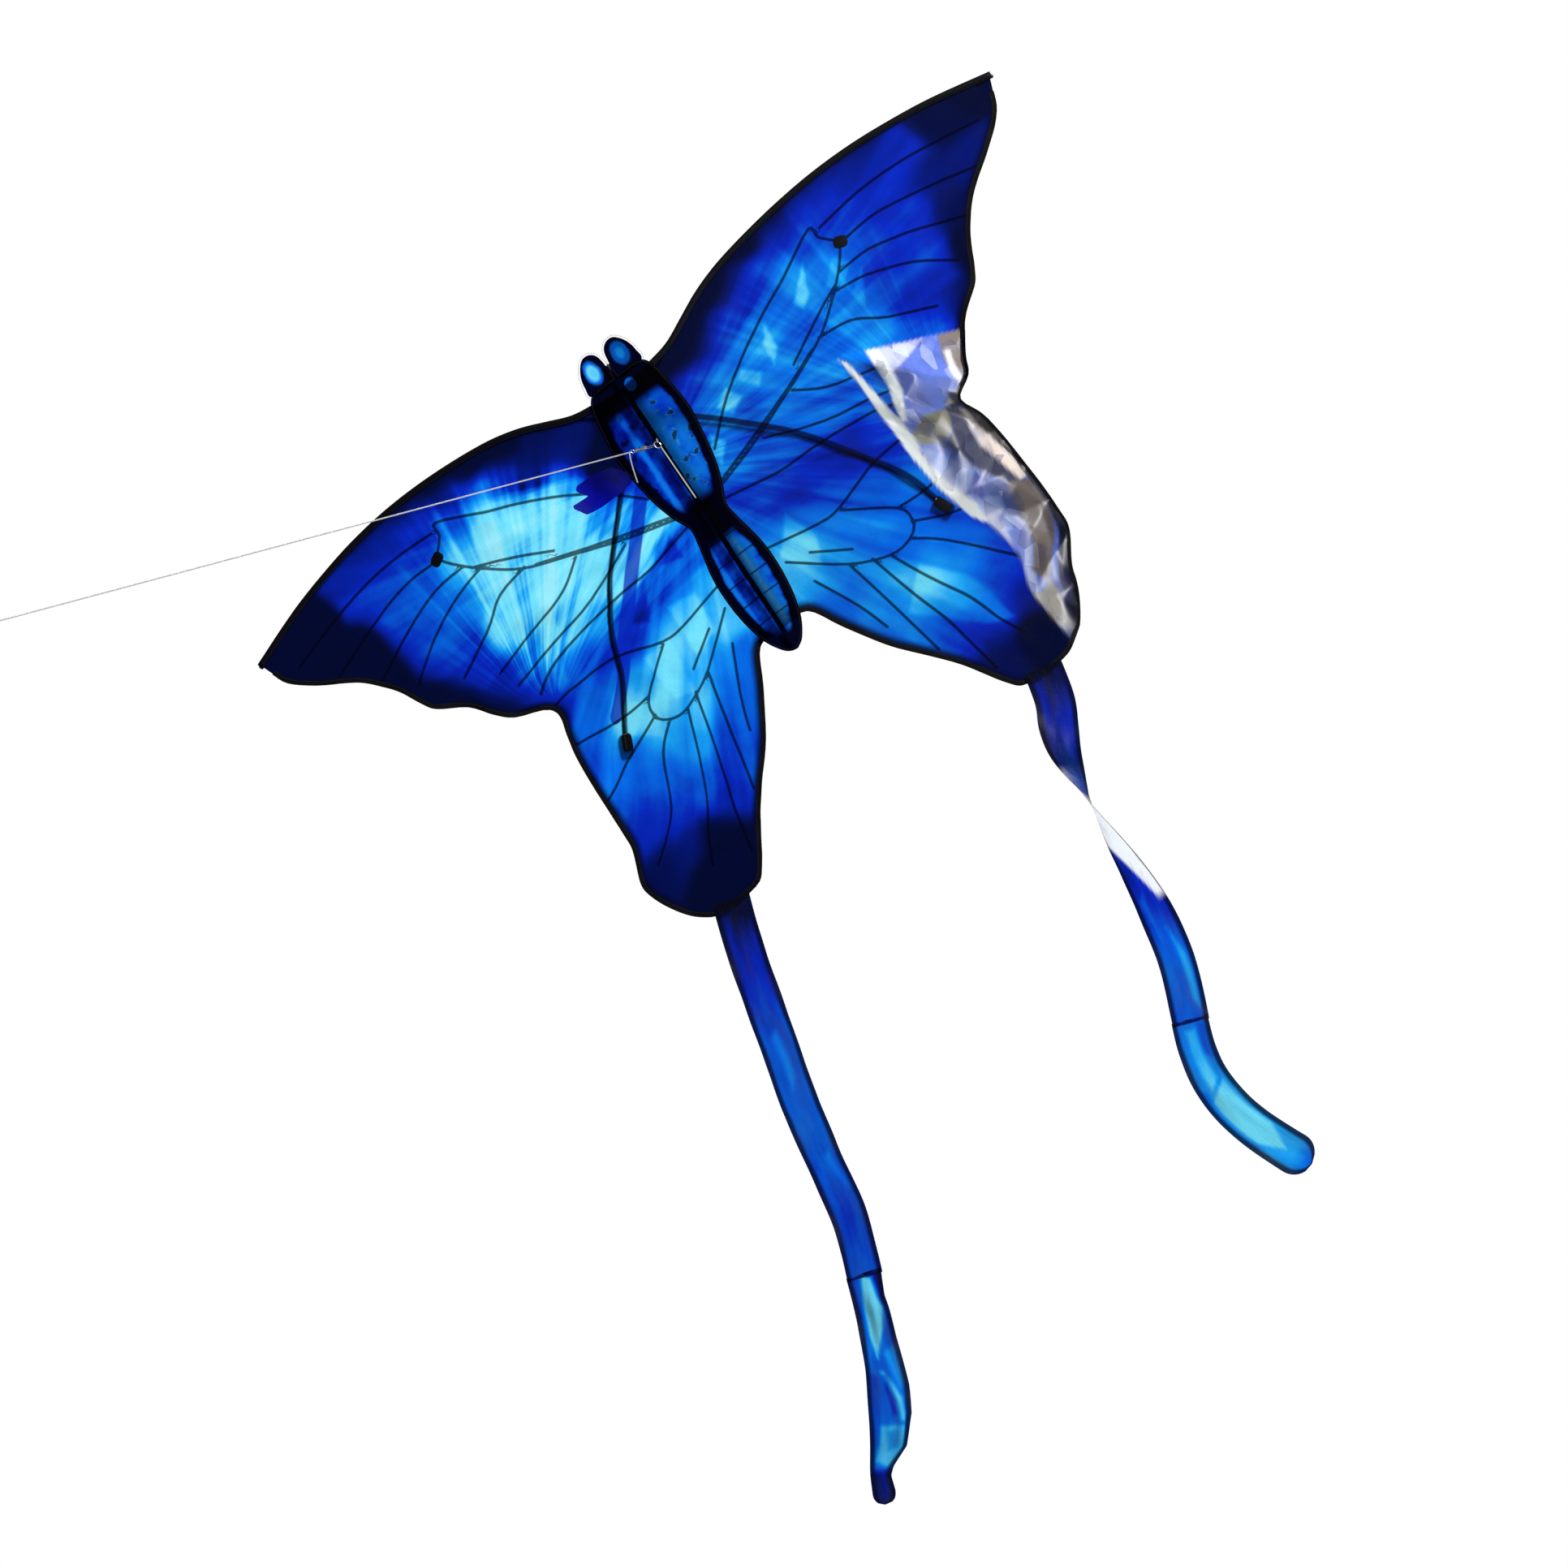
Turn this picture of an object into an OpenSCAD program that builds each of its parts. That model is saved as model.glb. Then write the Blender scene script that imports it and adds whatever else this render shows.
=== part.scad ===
// Single-line butterfly kite with a rod frame, two ribbon tails, a short bridle and its line.
// Upright, nose up along +Z, wings along X, flyer's side towards -Y.
// The centre of the tow ring is at the origin.

/* [Sail] */

// Thickness of the ripstop panels
sheet = 1; // [0.6:0.1:2]
// Backward slope of each wing, in degrees
dihedral = 5; // [0:0.5:20]
// Width of the folded hem round each wing's rear edge
hem_width = 6; // [3:1:12]
// Thickness of the folded hem
hem_thick = 1.8; // [1.2:0.1:3]
// Width of each ribbon tail
tail_width = 54; // [30:1:80]

/* [Frame] */

// Diameter of the two wing rods
rod_diameter = 4; // [3:0.5:6]
// Diameter of the spine rod
spine_diameter = 5; // [4:0.5:8]
// Outside diameter of the vinyl end caps
cap_diameter = 7.5; // [6:0.5:10]
// Length of the vinyl end caps
cap_length = 22; // [12:1:40]

/* [Bridle and line] */

// Distance from the tow ring back to the sail at the spine
stand_off = 25; // [15:1:60]
// Height of the tow ring below the kite's own zero level
tow_drop = 10; // [0:1:40]
// Mean diameter of the tow ring
ring_diameter = 10; // [8:0.5:20]
// Wire diameter of the tow ring
ring_wire = 1.6; // [1:0.1:3]
// Diameter of the flying line
line_diameter = 2; // [0.8:0.1:2.5]
// Diameter of the bridle's two legs
bridle_diameter = 2; // [1:0.1:2.5]

/* [Output] */

// Node to build, or all

/* [Hidden] */

$fn = 32;

black = [0.03, 0.04, 0.1];
blue = [0.05, 0.4, 0.95];
deep_blue = [0.02, 0.12, 0.6];
gap = 0.3;
slope = tan(dihedral);
// The line leaves the ring forwards and to the left.
line_way = unit([-735, -802, 32]);
line_end = 1090;

// One wing's edge as (across, up) points, from the neck round to the body's lower end.
wing_front = [
    [3, 100], [50, 108], [84, 116], [118, 133], [156, 152], [200, 167], [254, 178],
    [312, 186], [370, 190], [428, 189], [486, 183], [560, 170], [648, 146],
];
wing_rear = [
    [638, 120], [626, 94], [592, 62], [542, 26], [515, -4], [497, -30], [482, -62],
    [468, -84], [430, -112], [404, -150], [388, -172], [350, -196],
    [358, -240], [364, -290], [367, -345], [367, -400], [366, -450], [358, -498],
    [338, -540], [314, -568], [286, -582], [228, -582], [206, -564], [170, -507],
    [137, -466], [104, -426], [68, -368], [40, -320], [3, -320],
];
// The right half of the body, from the top of the neck down to the pointed end.
body_half = [
    [0, 118], [26, 118], [44, 114], [54, 96], [58, 70], [62, 40], [63, 12], [60, -16],
    [56, -46], [50, -76], [41, -104], [31, -128], [33, -150], [38, -176], [43, -206],
    [44, -238], [42, -270], [37, -300], [29, -326], [16, -348], [6, -356], [0, -357],
];
lobe = [
    [2, 118], [3, 140], [6, 158], [14, 167], [25, 168], [34, 160], [41, 147], [44, 132],
    [42, 118],
];
// Centre lines of the tails as (across, up) points, down from the sewn top.
tail_left_way = [
    [-257, -584.5], [-272, -626], [-289, -680], [-306, -740], [-322, -800], [-338, -865],
    [-349, -930], [-358, -990], [-366, -1035], [-378, -1075], [-391, -1110],
];
tail_end_left_way = [
    [-391.6, -1112], [-404, -1150], [-422, -1195], [-444, -1240], [-472, -1290],
    [-500, -1330],
];
tail_right_way = [
    [257, -584.5], [246, -625], [230, -660], [216, -700], [208, -760], [205, -820],
    [204, -880], [200, -940], [191, -995], [176, -1045], [156, -1094],
];
tail_end_right_way = [
    [155.4, -1096], [143, -1130], [136, -1170], [138, -1215], [150, -1258], [170, -1296],
];
// Rod route behind the sail, from a leading edge over the spine to the other hind wing.
rod_cross = [
    [-84, 111], [-57, 96], [0, 52], [63, 0], [112, -48], [162, -103], [200, -160],
    [231, -222], [256, -276], [271, -313],
];

function unit(v) = v / norm(v);
function flip(points) = [for (p = points) [-p[0], p[1]]];
// A point on the sail's slope, set back by a depth.
function on_sail(p, depth) = [p[0], abs(p[0]) * slope + depth, p[1]];
// Smooth closed or open curve through the given points, with k steps to each span.
function blend4(a, b, c, d, t) =
    ((2 * b) + (c - a) * t + (2 * a - 5 * b + 4 * c - d) * t * t
    + (3 * b - a - 3 * c + d) * t * t * t) / 2;
function curve(p, k) =
    let (n = len(p) - 1)
    concat([for (i = [0 : n - 1]) for (j = [0 : k - 1])
        blend4(p[max(i - 1, 0)], p[i], p[i + 1], p[min(i + 2, n)], j / k)], [p[n]]);
function heading(p, i) = unit(p[min(i + 1, len(p) - 1)] - p[max(i - 1, 0)]);
function ring_points(p, i, shape, ref) =
    let (d = heading(p, i), s = unit(cross(d, ref)), u = cross(s, d))
    [for (q = shape) p[i] + s * q[0] + u * q[1]];
function round_shape(r, n) = [for (k = [0 : n - 1]) [r * cos(360 * k / n), r * sin(360 * k / n)]];
function oval_shape(a, b, n) = [for (k = [0 : n - 1]) [a * cos(360 * k / n), b * sin(360 * k / n)]];

// A section carried along a route of 3-D points; ref must never lie along the route.
module sweep(p, shape, ref) {
    n = len(shape);
    m = len(p);
    polyhedron(
        points = [for (i = [0 : m - 1]) each ring_points(p, i, shape, ref)],
        faces = concat(
            [[for (j = [0 : n - 1]) j]],
            [for (i = [0 : m - 2]) for (j = [0 : n - 1]) for (h = [0 : 1])
                h == 0
                ? [i * n + j, (i + 1) * n + j, (i + 1) * n + (j + 1) % n]
                : [i * n + j, (i + 1) * n + (j + 1) % n, i * n + (j + 1) % n]],
            [[for (j = [n - 1 : -1 : 0]) (m - 1) * n + j]]),
        convexity = 10);
}

// Puts parts drawn in the kite's own levels into the frame.
module on_kite() {
    translate([0, stand_off, tow_drop]) children();
}

// A flat outline in (across, up) turned upright, centred on its thickness.
module upright(thick) {
    rotate([90, 0, 0]) translate([0, 0, -thick / 2]) linear_extrude(thick) children();
}

// A flat outline laid on the right or left wing's slope.
module on_wing(right, thick, depth) {
    mirror([right ? 0 : 1, 0, 0])
        translate([0, depth, 0])
        rotate([0, 0, dihedral])
        upright(thick)
        children();
}

module wing_shape() {
    polygon(concat(curve(wing_front, 2), curve(wing_rear, 2)));
}

// The band along the rear edge only: it stops at the tip and at the body.
module rear_band() {
    difference() {
        wing_shape();
        offset(delta = -hem_width) wing_shape();
        polygon([[-5, 60], [70, 60], [640, 134], [660, 220], [-5, 220]]);
        translate([-5, -330]) square([44, 500]);
    }
}

module wing(right) {
    on_kite() on_wing(right, sheet, sheet) difference() {
        wing_shape();
        rear_band();
    }
}

module rear_hem(right) {
    on_kite() on_wing(right, hem_thick, sheet) rear_band();
}

function side(points, right) = right ? points : flip(points);

module leading_sleeve(right) {
    front = [for (i = [2 : len(wing_front) - 1]) wing_front[i] - [0, 4]];
    way = curve([for (p = side(front, right)) on_sail(p, 4)], 2);
    on_kite() sweep(way, oval_shape(9, 4, 12), [0, 1, 0]);
}

// One rod: from the wing tip inside its sleeve, behind the spine, to the other hind wing.
module wing_rod(right) {
    front = [for (i = [len(wing_front) - 1 : -1 : 3]) wing_front[i] - [0, 4]];
    first = [for (p = front) on_sail([-p[0], p[1]], 4)];
    back = right ? 13 : 9;
    depth = [4.5, 6, back, 8, 6, 4.5, 4, 3.8, 3.8, 3.8];
    second = [for (i = [0 : len(rod_cross) - 1]) on_sail(rod_cross[i], depth[i])];
    way = curve(concat(first, second), 2);
    on_kite() mirror([right ? 1 : 0, 0, 0])
        sweep(way, round_shape(rod_diameter / 2, 10), [0, 1, 0]);
}

// A soft cap pushed on a rod's end, drawn round the end and a little past it.
module end_cap(from, way) {
    translate(from) orient(way) cylinder(h = cap_length, d = cap_diameter);
}

module orient(way) {
    rotate([0, acos(way[2] / norm(way)), atan2(way[1], way[0])]) children();
}

module tip_cap(right) {
    tip = on_sail([644, 143], 4);
    before = on_sail([560, 166], 4);
    way = unit(tip - before);
    on_kite() mirror([right ? 0 : 1, 0, 0]) end_cap(tip - way * (cap_length - 6), way);
}

module rod_cap(right) {
    last = on_sail([271, -313], 3.8);
    way = unit(last - on_sail([256, -276], 3.8));
    on_kite() mirror([right ? 0 : 1, 0, 0]) end_cap(last - way * (cap_length - 4), way);
}

module hind_pocket(right) {
    on_kite() on_wing(right, 9, 5) translate([269, -309]) rotate(22) offset(2) offset(-2)
        square([18, 30], center = true);
}

module fore_patch(right) {
    on_kite() on_wing(right, 2, sheet) translate([353, 86]) rotate(-25)
        polygon([[-9, -7], [0, -11], [8, -6], [11, 3], [5, 10], [-4, 9], [-11, 3]]);
}

module body_panel() {
    outline = curve(body_half, 2);
    n = len(outline);
    on_kite() translate([0, -1.2, 0]) upright(sheet * 1.6)
        polygon(concat(outline, [for (i = [n - 2 : -1 : 1]) [-outline[i][0], outline[i][1]]]));
}

module head_lobe(right) {
    on_kite() mirror([right ? 0 : 1, 0, 0]) translate([0, -1.2, 0]) upright(sheet * 1.6)
        polygon(curve(lobe, 2));
}

module spine_rod() {
    on_kite() translate([0, 4.2, -345]) cylinder(h = 475, d = spine_diameter);
}

module nose_cap() {
    on_kite() translate([0, 4.2, 118]) cylinder(h = cap_length, d = cap_diameter);
}

module spine_end_cap() {
    on_kite() translate([0, 4.2, -354]) cylinder(h = cap_length, d = cap_diameter);
}

// A band of tape that holds the spine to the sail where a bridle leg is tied.
module spine_clip(height) {
    on_kite() translate([-9, 0.4, height - 6]) cube([18, 7.2, 12]);
}

module rod_crossing_tie() {
    on_kite() translate([0, 8.5, 52]) rotate([90, 0, 0])
        cylinder(h = 13, d = 12, center = true);
}

// A ribbon round its centre line, cut level at the top; a rounded one ends in a half circle.
module ribbon(way, rounded) {
    half = tail_width / 2;
    line = curve(way, 2);
    n = len(line);
    end = [for (a = [-15 : -15 : -165]) line[n - 1] + half * [cos(a), sin(a)]];
    upright(sheet) polygon(concat(
        [for (p = line) p + [half, 0]],
        rounded ? end : [],
        [for (i = [n - 1 : -1 : 0]) line[i] - [half, 0]]));
}

module tail_place() {
    translate([0, 257 * slope + sheet, 0]) children();
}

module tail_left() {
    on_kite() tail_place() ribbon(tail_left_way, false);
}

module tail_right() {
    on_kite() tail_place() ribbon(tail_right_way, false);
}

module tail_end_left() {
    on_kite() tail_place() ribbon(tail_end_left_way, true);
}

module tail_end_right() {
    on_kite() tail_place() ribbon(tail_end_right_way, true);
}

// Forked ribbon sewn to the body's left edge.
module pennant() {
    on_kite() translate([0, -4.5, 0]) upright(0.8)
        polygon([[-63.5, -8], [-63.5, -36], [-96, -44], [-142, -38], [-128, -26], [-146, -18],
            [-152, 6], [-108, 2]]);
}

// One leg of the bridle, from the body's face to the ring, straight.
module bridle_leg(height, at_ring) {
    start = [0, stand_off - 2.05, height + tow_drop];
    sweep([start, (start + at_ring) / 2, at_ring], round_shape(bridle_diameter / 2, 8), [1, 0, 0]);
}

module tow_ring() {
    rotate([0, 0, 47.5]) rotate([90, 0, 0]) rotate_extrude()
        translate([ring_diameter / 2, 0]) circle(d = ring_wire, $fn = 16);
}

// Moves along the line's way from the ring, with the way as local +Z.
module along_line(distance) {
    orient(line_way) translate([0, 0, distance]) children();
}

// Bent wire clip: one straight leg, a nose through the ring and a short return.
module snap_hook() {
    along_line(0) sweep(curve([
            [0, 2.6, 20.2], [0, 2.6, 13], [0, 2.6, 6.6], [0, 2.1, 4.5], [0, 0, 3.5],
            [0, -2.1, 4.5], [0, -2.6, 6.4]], 3), round_shape(0.6, 8), [1, 0, 0]);
}

// The collar that holds the clip's leg, with the pin the barrel sits on.
module snap_collar() {
    along_line(20) cylinder(h = 4.5, d = 7.4);
    along_line(24.5) cylinder(h = 3, d = 1.6);
}

// The springy side of the clip, which opens inwards.
module snap_gate() {
    along_line(7) translate([0, -2.6, 0]) cylinder(h = 12.6, d = 1.2, $fn = 16);
}

module swivel_barrel() {
    along_line(27) difference() {
        cylinder(h = 9, d1 = 4.2, d2 = 5.2);
        translate([0, 0, 4]) cylinder(h = 6, d = 1.9);
    }
}

module swivel_eye() {
    along_line(32) cylinder(h = 7.4, d = 1.8);
    along_line(41.6) rotate([90, 0, 0]) rotate_extrude() translate([2.6, 0])
        circle(d = 1.2, $fn = 16);
}

module flying_line() {
    sweep([for (k = [0 : 15]) line_way * (44 + k * (line_end - 44) / 15)],
        round_shape(line_diameter / 2, 8), [0, 0, 1]);
}

module line_knot() {
    along_line(line_end - 4) scale([1, 1, 1.5]) sphere(d = 5.4);
}

// The tied loop at the line's far end.
module line_loop() {
    along_line(line_end) sweep([for (k = [0 : 24])
            let (a = 360 * k / 24, w = 9 * sin(a) * (1 - cos(a)) / 1.3)
            [w + 0.4 * cos(a / 2), 1.2 * cos(a / 2), 22 * (1 - cos(a)) - 2]],
        round_shape(line_diameter / 2, 8), [0, 1, 0.02]);
}

color(black) body_panel();
color(black) head_lobe(false);  // head_lobe_left
color(black) head_lobe(true);  // head_lobe_right
color(blue) wing(false);  // wing_left
color(blue) wing(true);  // wing_right
color(black) leading_sleeve(false);  // leading_sleeve_left
color(black) leading_sleeve(true);  // leading_sleeve_right
color(black) rear_hem(false);  // rear_hem_left
color(black) rear_hem(true);  // rear_hem_right
color("dimgray") wing_rod(false);  // wing_rod_left
color("dimgray") wing_rod(true);  // wing_rod_right
color("black") tip_cap(false);  // tip_cap_left
color("black") tip_cap(true);  // tip_cap_right
color("black") rod_cap(false);  // rod_cap_left
color("black") rod_cap(true);  // rod_cap_right
color(black) hind_pocket(false);  // hind_pocket_left
color(black) hind_pocket(true);  // hind_pocket_right
color(black) fore_patch(false);  // fore_patch_left
color(black) fore_patch(true);  // fore_patch_right
color("dimgray") spine_rod();
color("black") nose_cap();
color("black") spine_end_cap();
color(black) spine_clip(8);  // spine_clip_upper
color(black) spine_clip(-104);  // spine_clip_lower
color("black") rod_crossing_tie();
color(blue) tail_left();
color(blue) tail_right();
color(blue) tail_end_left();
color(blue) tail_end_right();
color(deep_blue) pennant();
color("white") bridle_leg(8, [2.2, 2.4, 3.8]);  // bridle_leg_upper
color("white") bridle_leg(-104, [2.2, 2.4, -3.8]);  // bridle_leg_lower
color("silver") tow_ring();
color("silver") snap_hook();
color("silver") snap_collar();
color("silver") snap_gate();
color("silver") swivel_barrel();
color("silver") swivel_eye();
color("white") flying_line();
color("white") line_knot();
color("white") line_loop();
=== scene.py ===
import math

import bmesh
import bpy
import numpy as np
from mathutils import Matrix, Vector, noise


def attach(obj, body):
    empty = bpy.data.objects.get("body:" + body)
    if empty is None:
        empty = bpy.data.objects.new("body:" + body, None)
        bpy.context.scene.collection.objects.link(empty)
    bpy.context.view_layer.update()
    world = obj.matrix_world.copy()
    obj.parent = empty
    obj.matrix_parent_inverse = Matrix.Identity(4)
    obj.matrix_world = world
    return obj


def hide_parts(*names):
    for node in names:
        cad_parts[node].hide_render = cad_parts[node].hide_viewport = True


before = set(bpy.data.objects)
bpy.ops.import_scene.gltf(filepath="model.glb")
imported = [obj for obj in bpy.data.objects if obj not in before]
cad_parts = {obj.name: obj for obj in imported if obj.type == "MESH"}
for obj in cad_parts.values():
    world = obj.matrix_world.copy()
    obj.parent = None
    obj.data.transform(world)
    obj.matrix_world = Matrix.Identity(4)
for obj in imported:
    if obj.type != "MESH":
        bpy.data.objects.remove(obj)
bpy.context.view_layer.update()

# ---- the kite's cutting plan: (across, up) in millimetres from the spine ----

STAND_OFF = 25.0
TOW_DROP = 10.0
SLOPE = math.tan(math.radians(5))
SIDES = {"right": 1, "left": -1}
TIP = 648
POCKET = (269, -309)
# How far one wing tip hangs and the other rises, and how far the hind wings lean over.
TIP_LEAN = 20
HIND_SPREAD = 25
POCKET_REACH = 55

WING_FRONT = [
    (3, 100), (50, 108), (84, 116), (118, 133), (156, 152), (200, 167), (254, 178),
    (312, 186), (370, 190), (428, 189), (486, 183), (560, 170), (648, 146),
]
WING_REAR = [
    (638, 120), (626, 94), (592, 62), (542, 26), (515, -4), (497, -30), (482, -62),
    (468, -84), (430, -112), (404, -150), (388, -172), (350, -196),
    (358, -240), (364, -290), (367, -345), (367, -400), (366, -450), (358, -498),
    (338, -540), (314, -568), (286, -582), (228, -582), (206, -564), (170, -507),
    (137, -466), (104, -426), (68, -368), (40, -320), (3, -320),
]
BODY_HALF = [
    (0, 118), (26, 118), (44, 114), (54, 96), (58, 70), (62, 40), (63, 12), (60, -16),
    (56, -46), (50, -76), (41, -104), (31, -128), (33, -150), (38, -176), (43, -206),
    (44, -238), (42, -270), (37, -300), (29, -326), (16, -348), (6, -356), (0, -357),
]
LOBE = [
    (2, 114), (3, 140), (6, 158), (14, 167), (25, 168), (34, 160), (41, 147), (44, 132),
    (42, 114),
]
ROD_CROSS = [
    (-84, 111), (-57, 96), (0, 52), (63, 0), (112, -48), (162, -103), (200, -160),
    (231, -222), (256, -276), (271, -313),
]
ROD_DEPTH = [4.5, 6, 9, 8, 6, 4.5, 4, 3.8, 3.8, 3.8]
TAIL_WAYS = {
    "left": [
        (-266, -578), (-281, -626), (-295, -680), (-309, -740), (-323, -800), (-338, -865),
        (-349, -930), (-358, -990), (-366, -1035), (-378, -1075), (-391, -1112),
    ],
    "right": [
        (257, -578), (246, -625), (230, -660), (216, -700), (208, -760), (205, -820),
        (204, -880), (200, -940), (191, -995), (176, -1045), (156, -1096),
    ],
}
TAIL_END_WAYS = {
    "left": [
        (-390, -1106), (-404, -1150), (-422, -1195), (-444, -1240), (-476, -1295),
        (-506, -1345), (-524, -1382),
    ],
    "right": [
        (157, -1090), (143, -1130), (136, -1170), (138, -1215), (148, -1258), (166, -1305),
        (184, -1345),
    ],
}
# Printed veins of one wing, each a run of (across, up) points.
VEINS = [
    [(352, 88), (342, 70), (308, 33), (258, -8), (182, -44), (110, -76), (42, -100)],
    [(240, -16), (150, -54), (44, -94)],
    [(352, 88), (332, 110), (326, 128), (262, 94), (200, 62), (142, 26), (98, -10), (57, -52)],
    [(318, 42), (262, 14), (208, -18)],
    [(308, 33), (357, 24), (418, -2), (470, -40)],
    [(326, 52), (380, 52), (440, 34), (510, 4)],
    [(350, 84), (410, 88), (480, 74), (560, 50)],
    [(340, 120), (410, 128), (500, 122), (600, 100)],
    [(255, -8), (305, -16), (350, -45), (412, -75)],
    [(186, -46), (228, -72), (290, -88), (366, -106)],
    [(120, -80), (200, -110), (280, -124), (352, -140)],
    [(34, -120), (110, -132), (182, -132), (286, -145), (340, -170)],
    [(42, -214), (112, -226), (150, -225), (225, -198), (308, -193), (345, -196)],
    [(152, -229), (212, -274), (219, -304), (203, -320), (172, -322), (120, -299), (52, -246)],
    [(135, -284), (86, -254)],
    [(212, -274), (262, -276), (355, -262)],
    [(218, -302), (268, -324), (360, -352)],
    [(204, -320), (240, -352), (286, -418), (330, -470)],
    [(172, -322), (196, -380), (232, -456), (262, -520)],
    [(150, -312), (170, -390), (190, -460), (206, -540)],
    [(120, -299), (136, -372), (156, -472)],
    [(70, -292), (100, -356), (116, -404)],
]


def smooth(value, low, high):
    t = np.clip((value - low) / (high - low), 0.0, 1.0)
    return t * t * (3 - 2 * t)


def curve(points, steps, closed=False):
    """A smooth run through the points, with steps to each span."""
    p = np.array(points, float)
    n = len(p)
    spans = n if closed else n - 1
    rows = []
    for i in range(spans):
        pick = [(i + k) % n if closed else min(max(i + k, 0), n - 1) for k in (-1, 0, 1, 2)]
        a, b, c, d = p[pick]
        for t in np.arange(steps) / steps:
            rows.append(
                (2 * b + (c - a) * t + (2 * a - 5 * b + 4 * c - d) * t * t
                 + (3 * b - a - 3 * c + d) * t ** 3) / 2
            )
    if not closed:
        rows.append(p[-1])
    return np.array(rows)


def even_run(points, step):
    """The same run with its points an even distance apart."""
    p = np.array(points, float)
    length = np.concatenate([[0], np.cumsum(np.linalg.norm(np.diff(p, axis=0), axis=1))])
    marks = np.linspace(0, length[-1], max(2, int(round(length[-1] / step)) + 1))
    return np.stack([np.interp(marks, length, p[:, k]) for k in range(p.shape[1])], 1)


def offset_to(points, runs):
    """The way from each point to the nearest spot on any of the runs, and how far that is."""
    best = np.full(len(points), 1e9)
    offset = np.zeros((len(points), 2))
    for run in runs:
        run = np.array(run, float)
        for a, b in zip(run[:-1], run[1:]):
            way = b - a
            t = np.clip(((points - a) @ way) / max(way @ way, 1e-9), 0, 1)
            gap = a + t[:, None] * way - points
            far = np.linalg.norm(gap, axis=1)
            nearer = far < best
            best[nearer] = far[nearer]
            offset[nearer] = gap[nearer]
    return offset, best


def round_trip(loop):
    return np.vstack([loop, loop[:1]])


def nearest_on(point, loop):
    a = loop
    b = np.roll(loop, -1, axis=0)
    way = b - a
    t = np.clip(((point - a) * way).sum(1) / np.maximum((way * way).sum(1), 1e-9), 0, 1)
    spots = a + t[:, None] * way
    return spots[np.argmin(np.linalg.norm(spots - point, axis=1))]


def inside(points, loop):
    x, z = points[:, 0], points[:, 1]
    found = np.zeros(len(points), bool)
    for (ax, az), (bx, bz) in zip(loop, np.roll(loop, -1, axis=0)):
        if az != bz:
            crossing = (az > z) != (bz > z)
            found ^= crossing & (x < (bx - ax) * (z - az) / (bz - az) + ax)
    return found


WING_LOOP = np.concatenate([curve(WING_FRONT, 6), curve(WING_REAR, 6)])
BODY_LOOP = np.concatenate([curve(BODY_HALF, 4), curve(BODY_HALF, 4)[-2:0:-1] * (-1, 1)])


# The painted shadow of the rod down the left wing, a dark band.
ROD_SHADOW_BAND = [(58, -36), (123, -107), (170, -159), (220, -215), (268, -268)]
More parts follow.
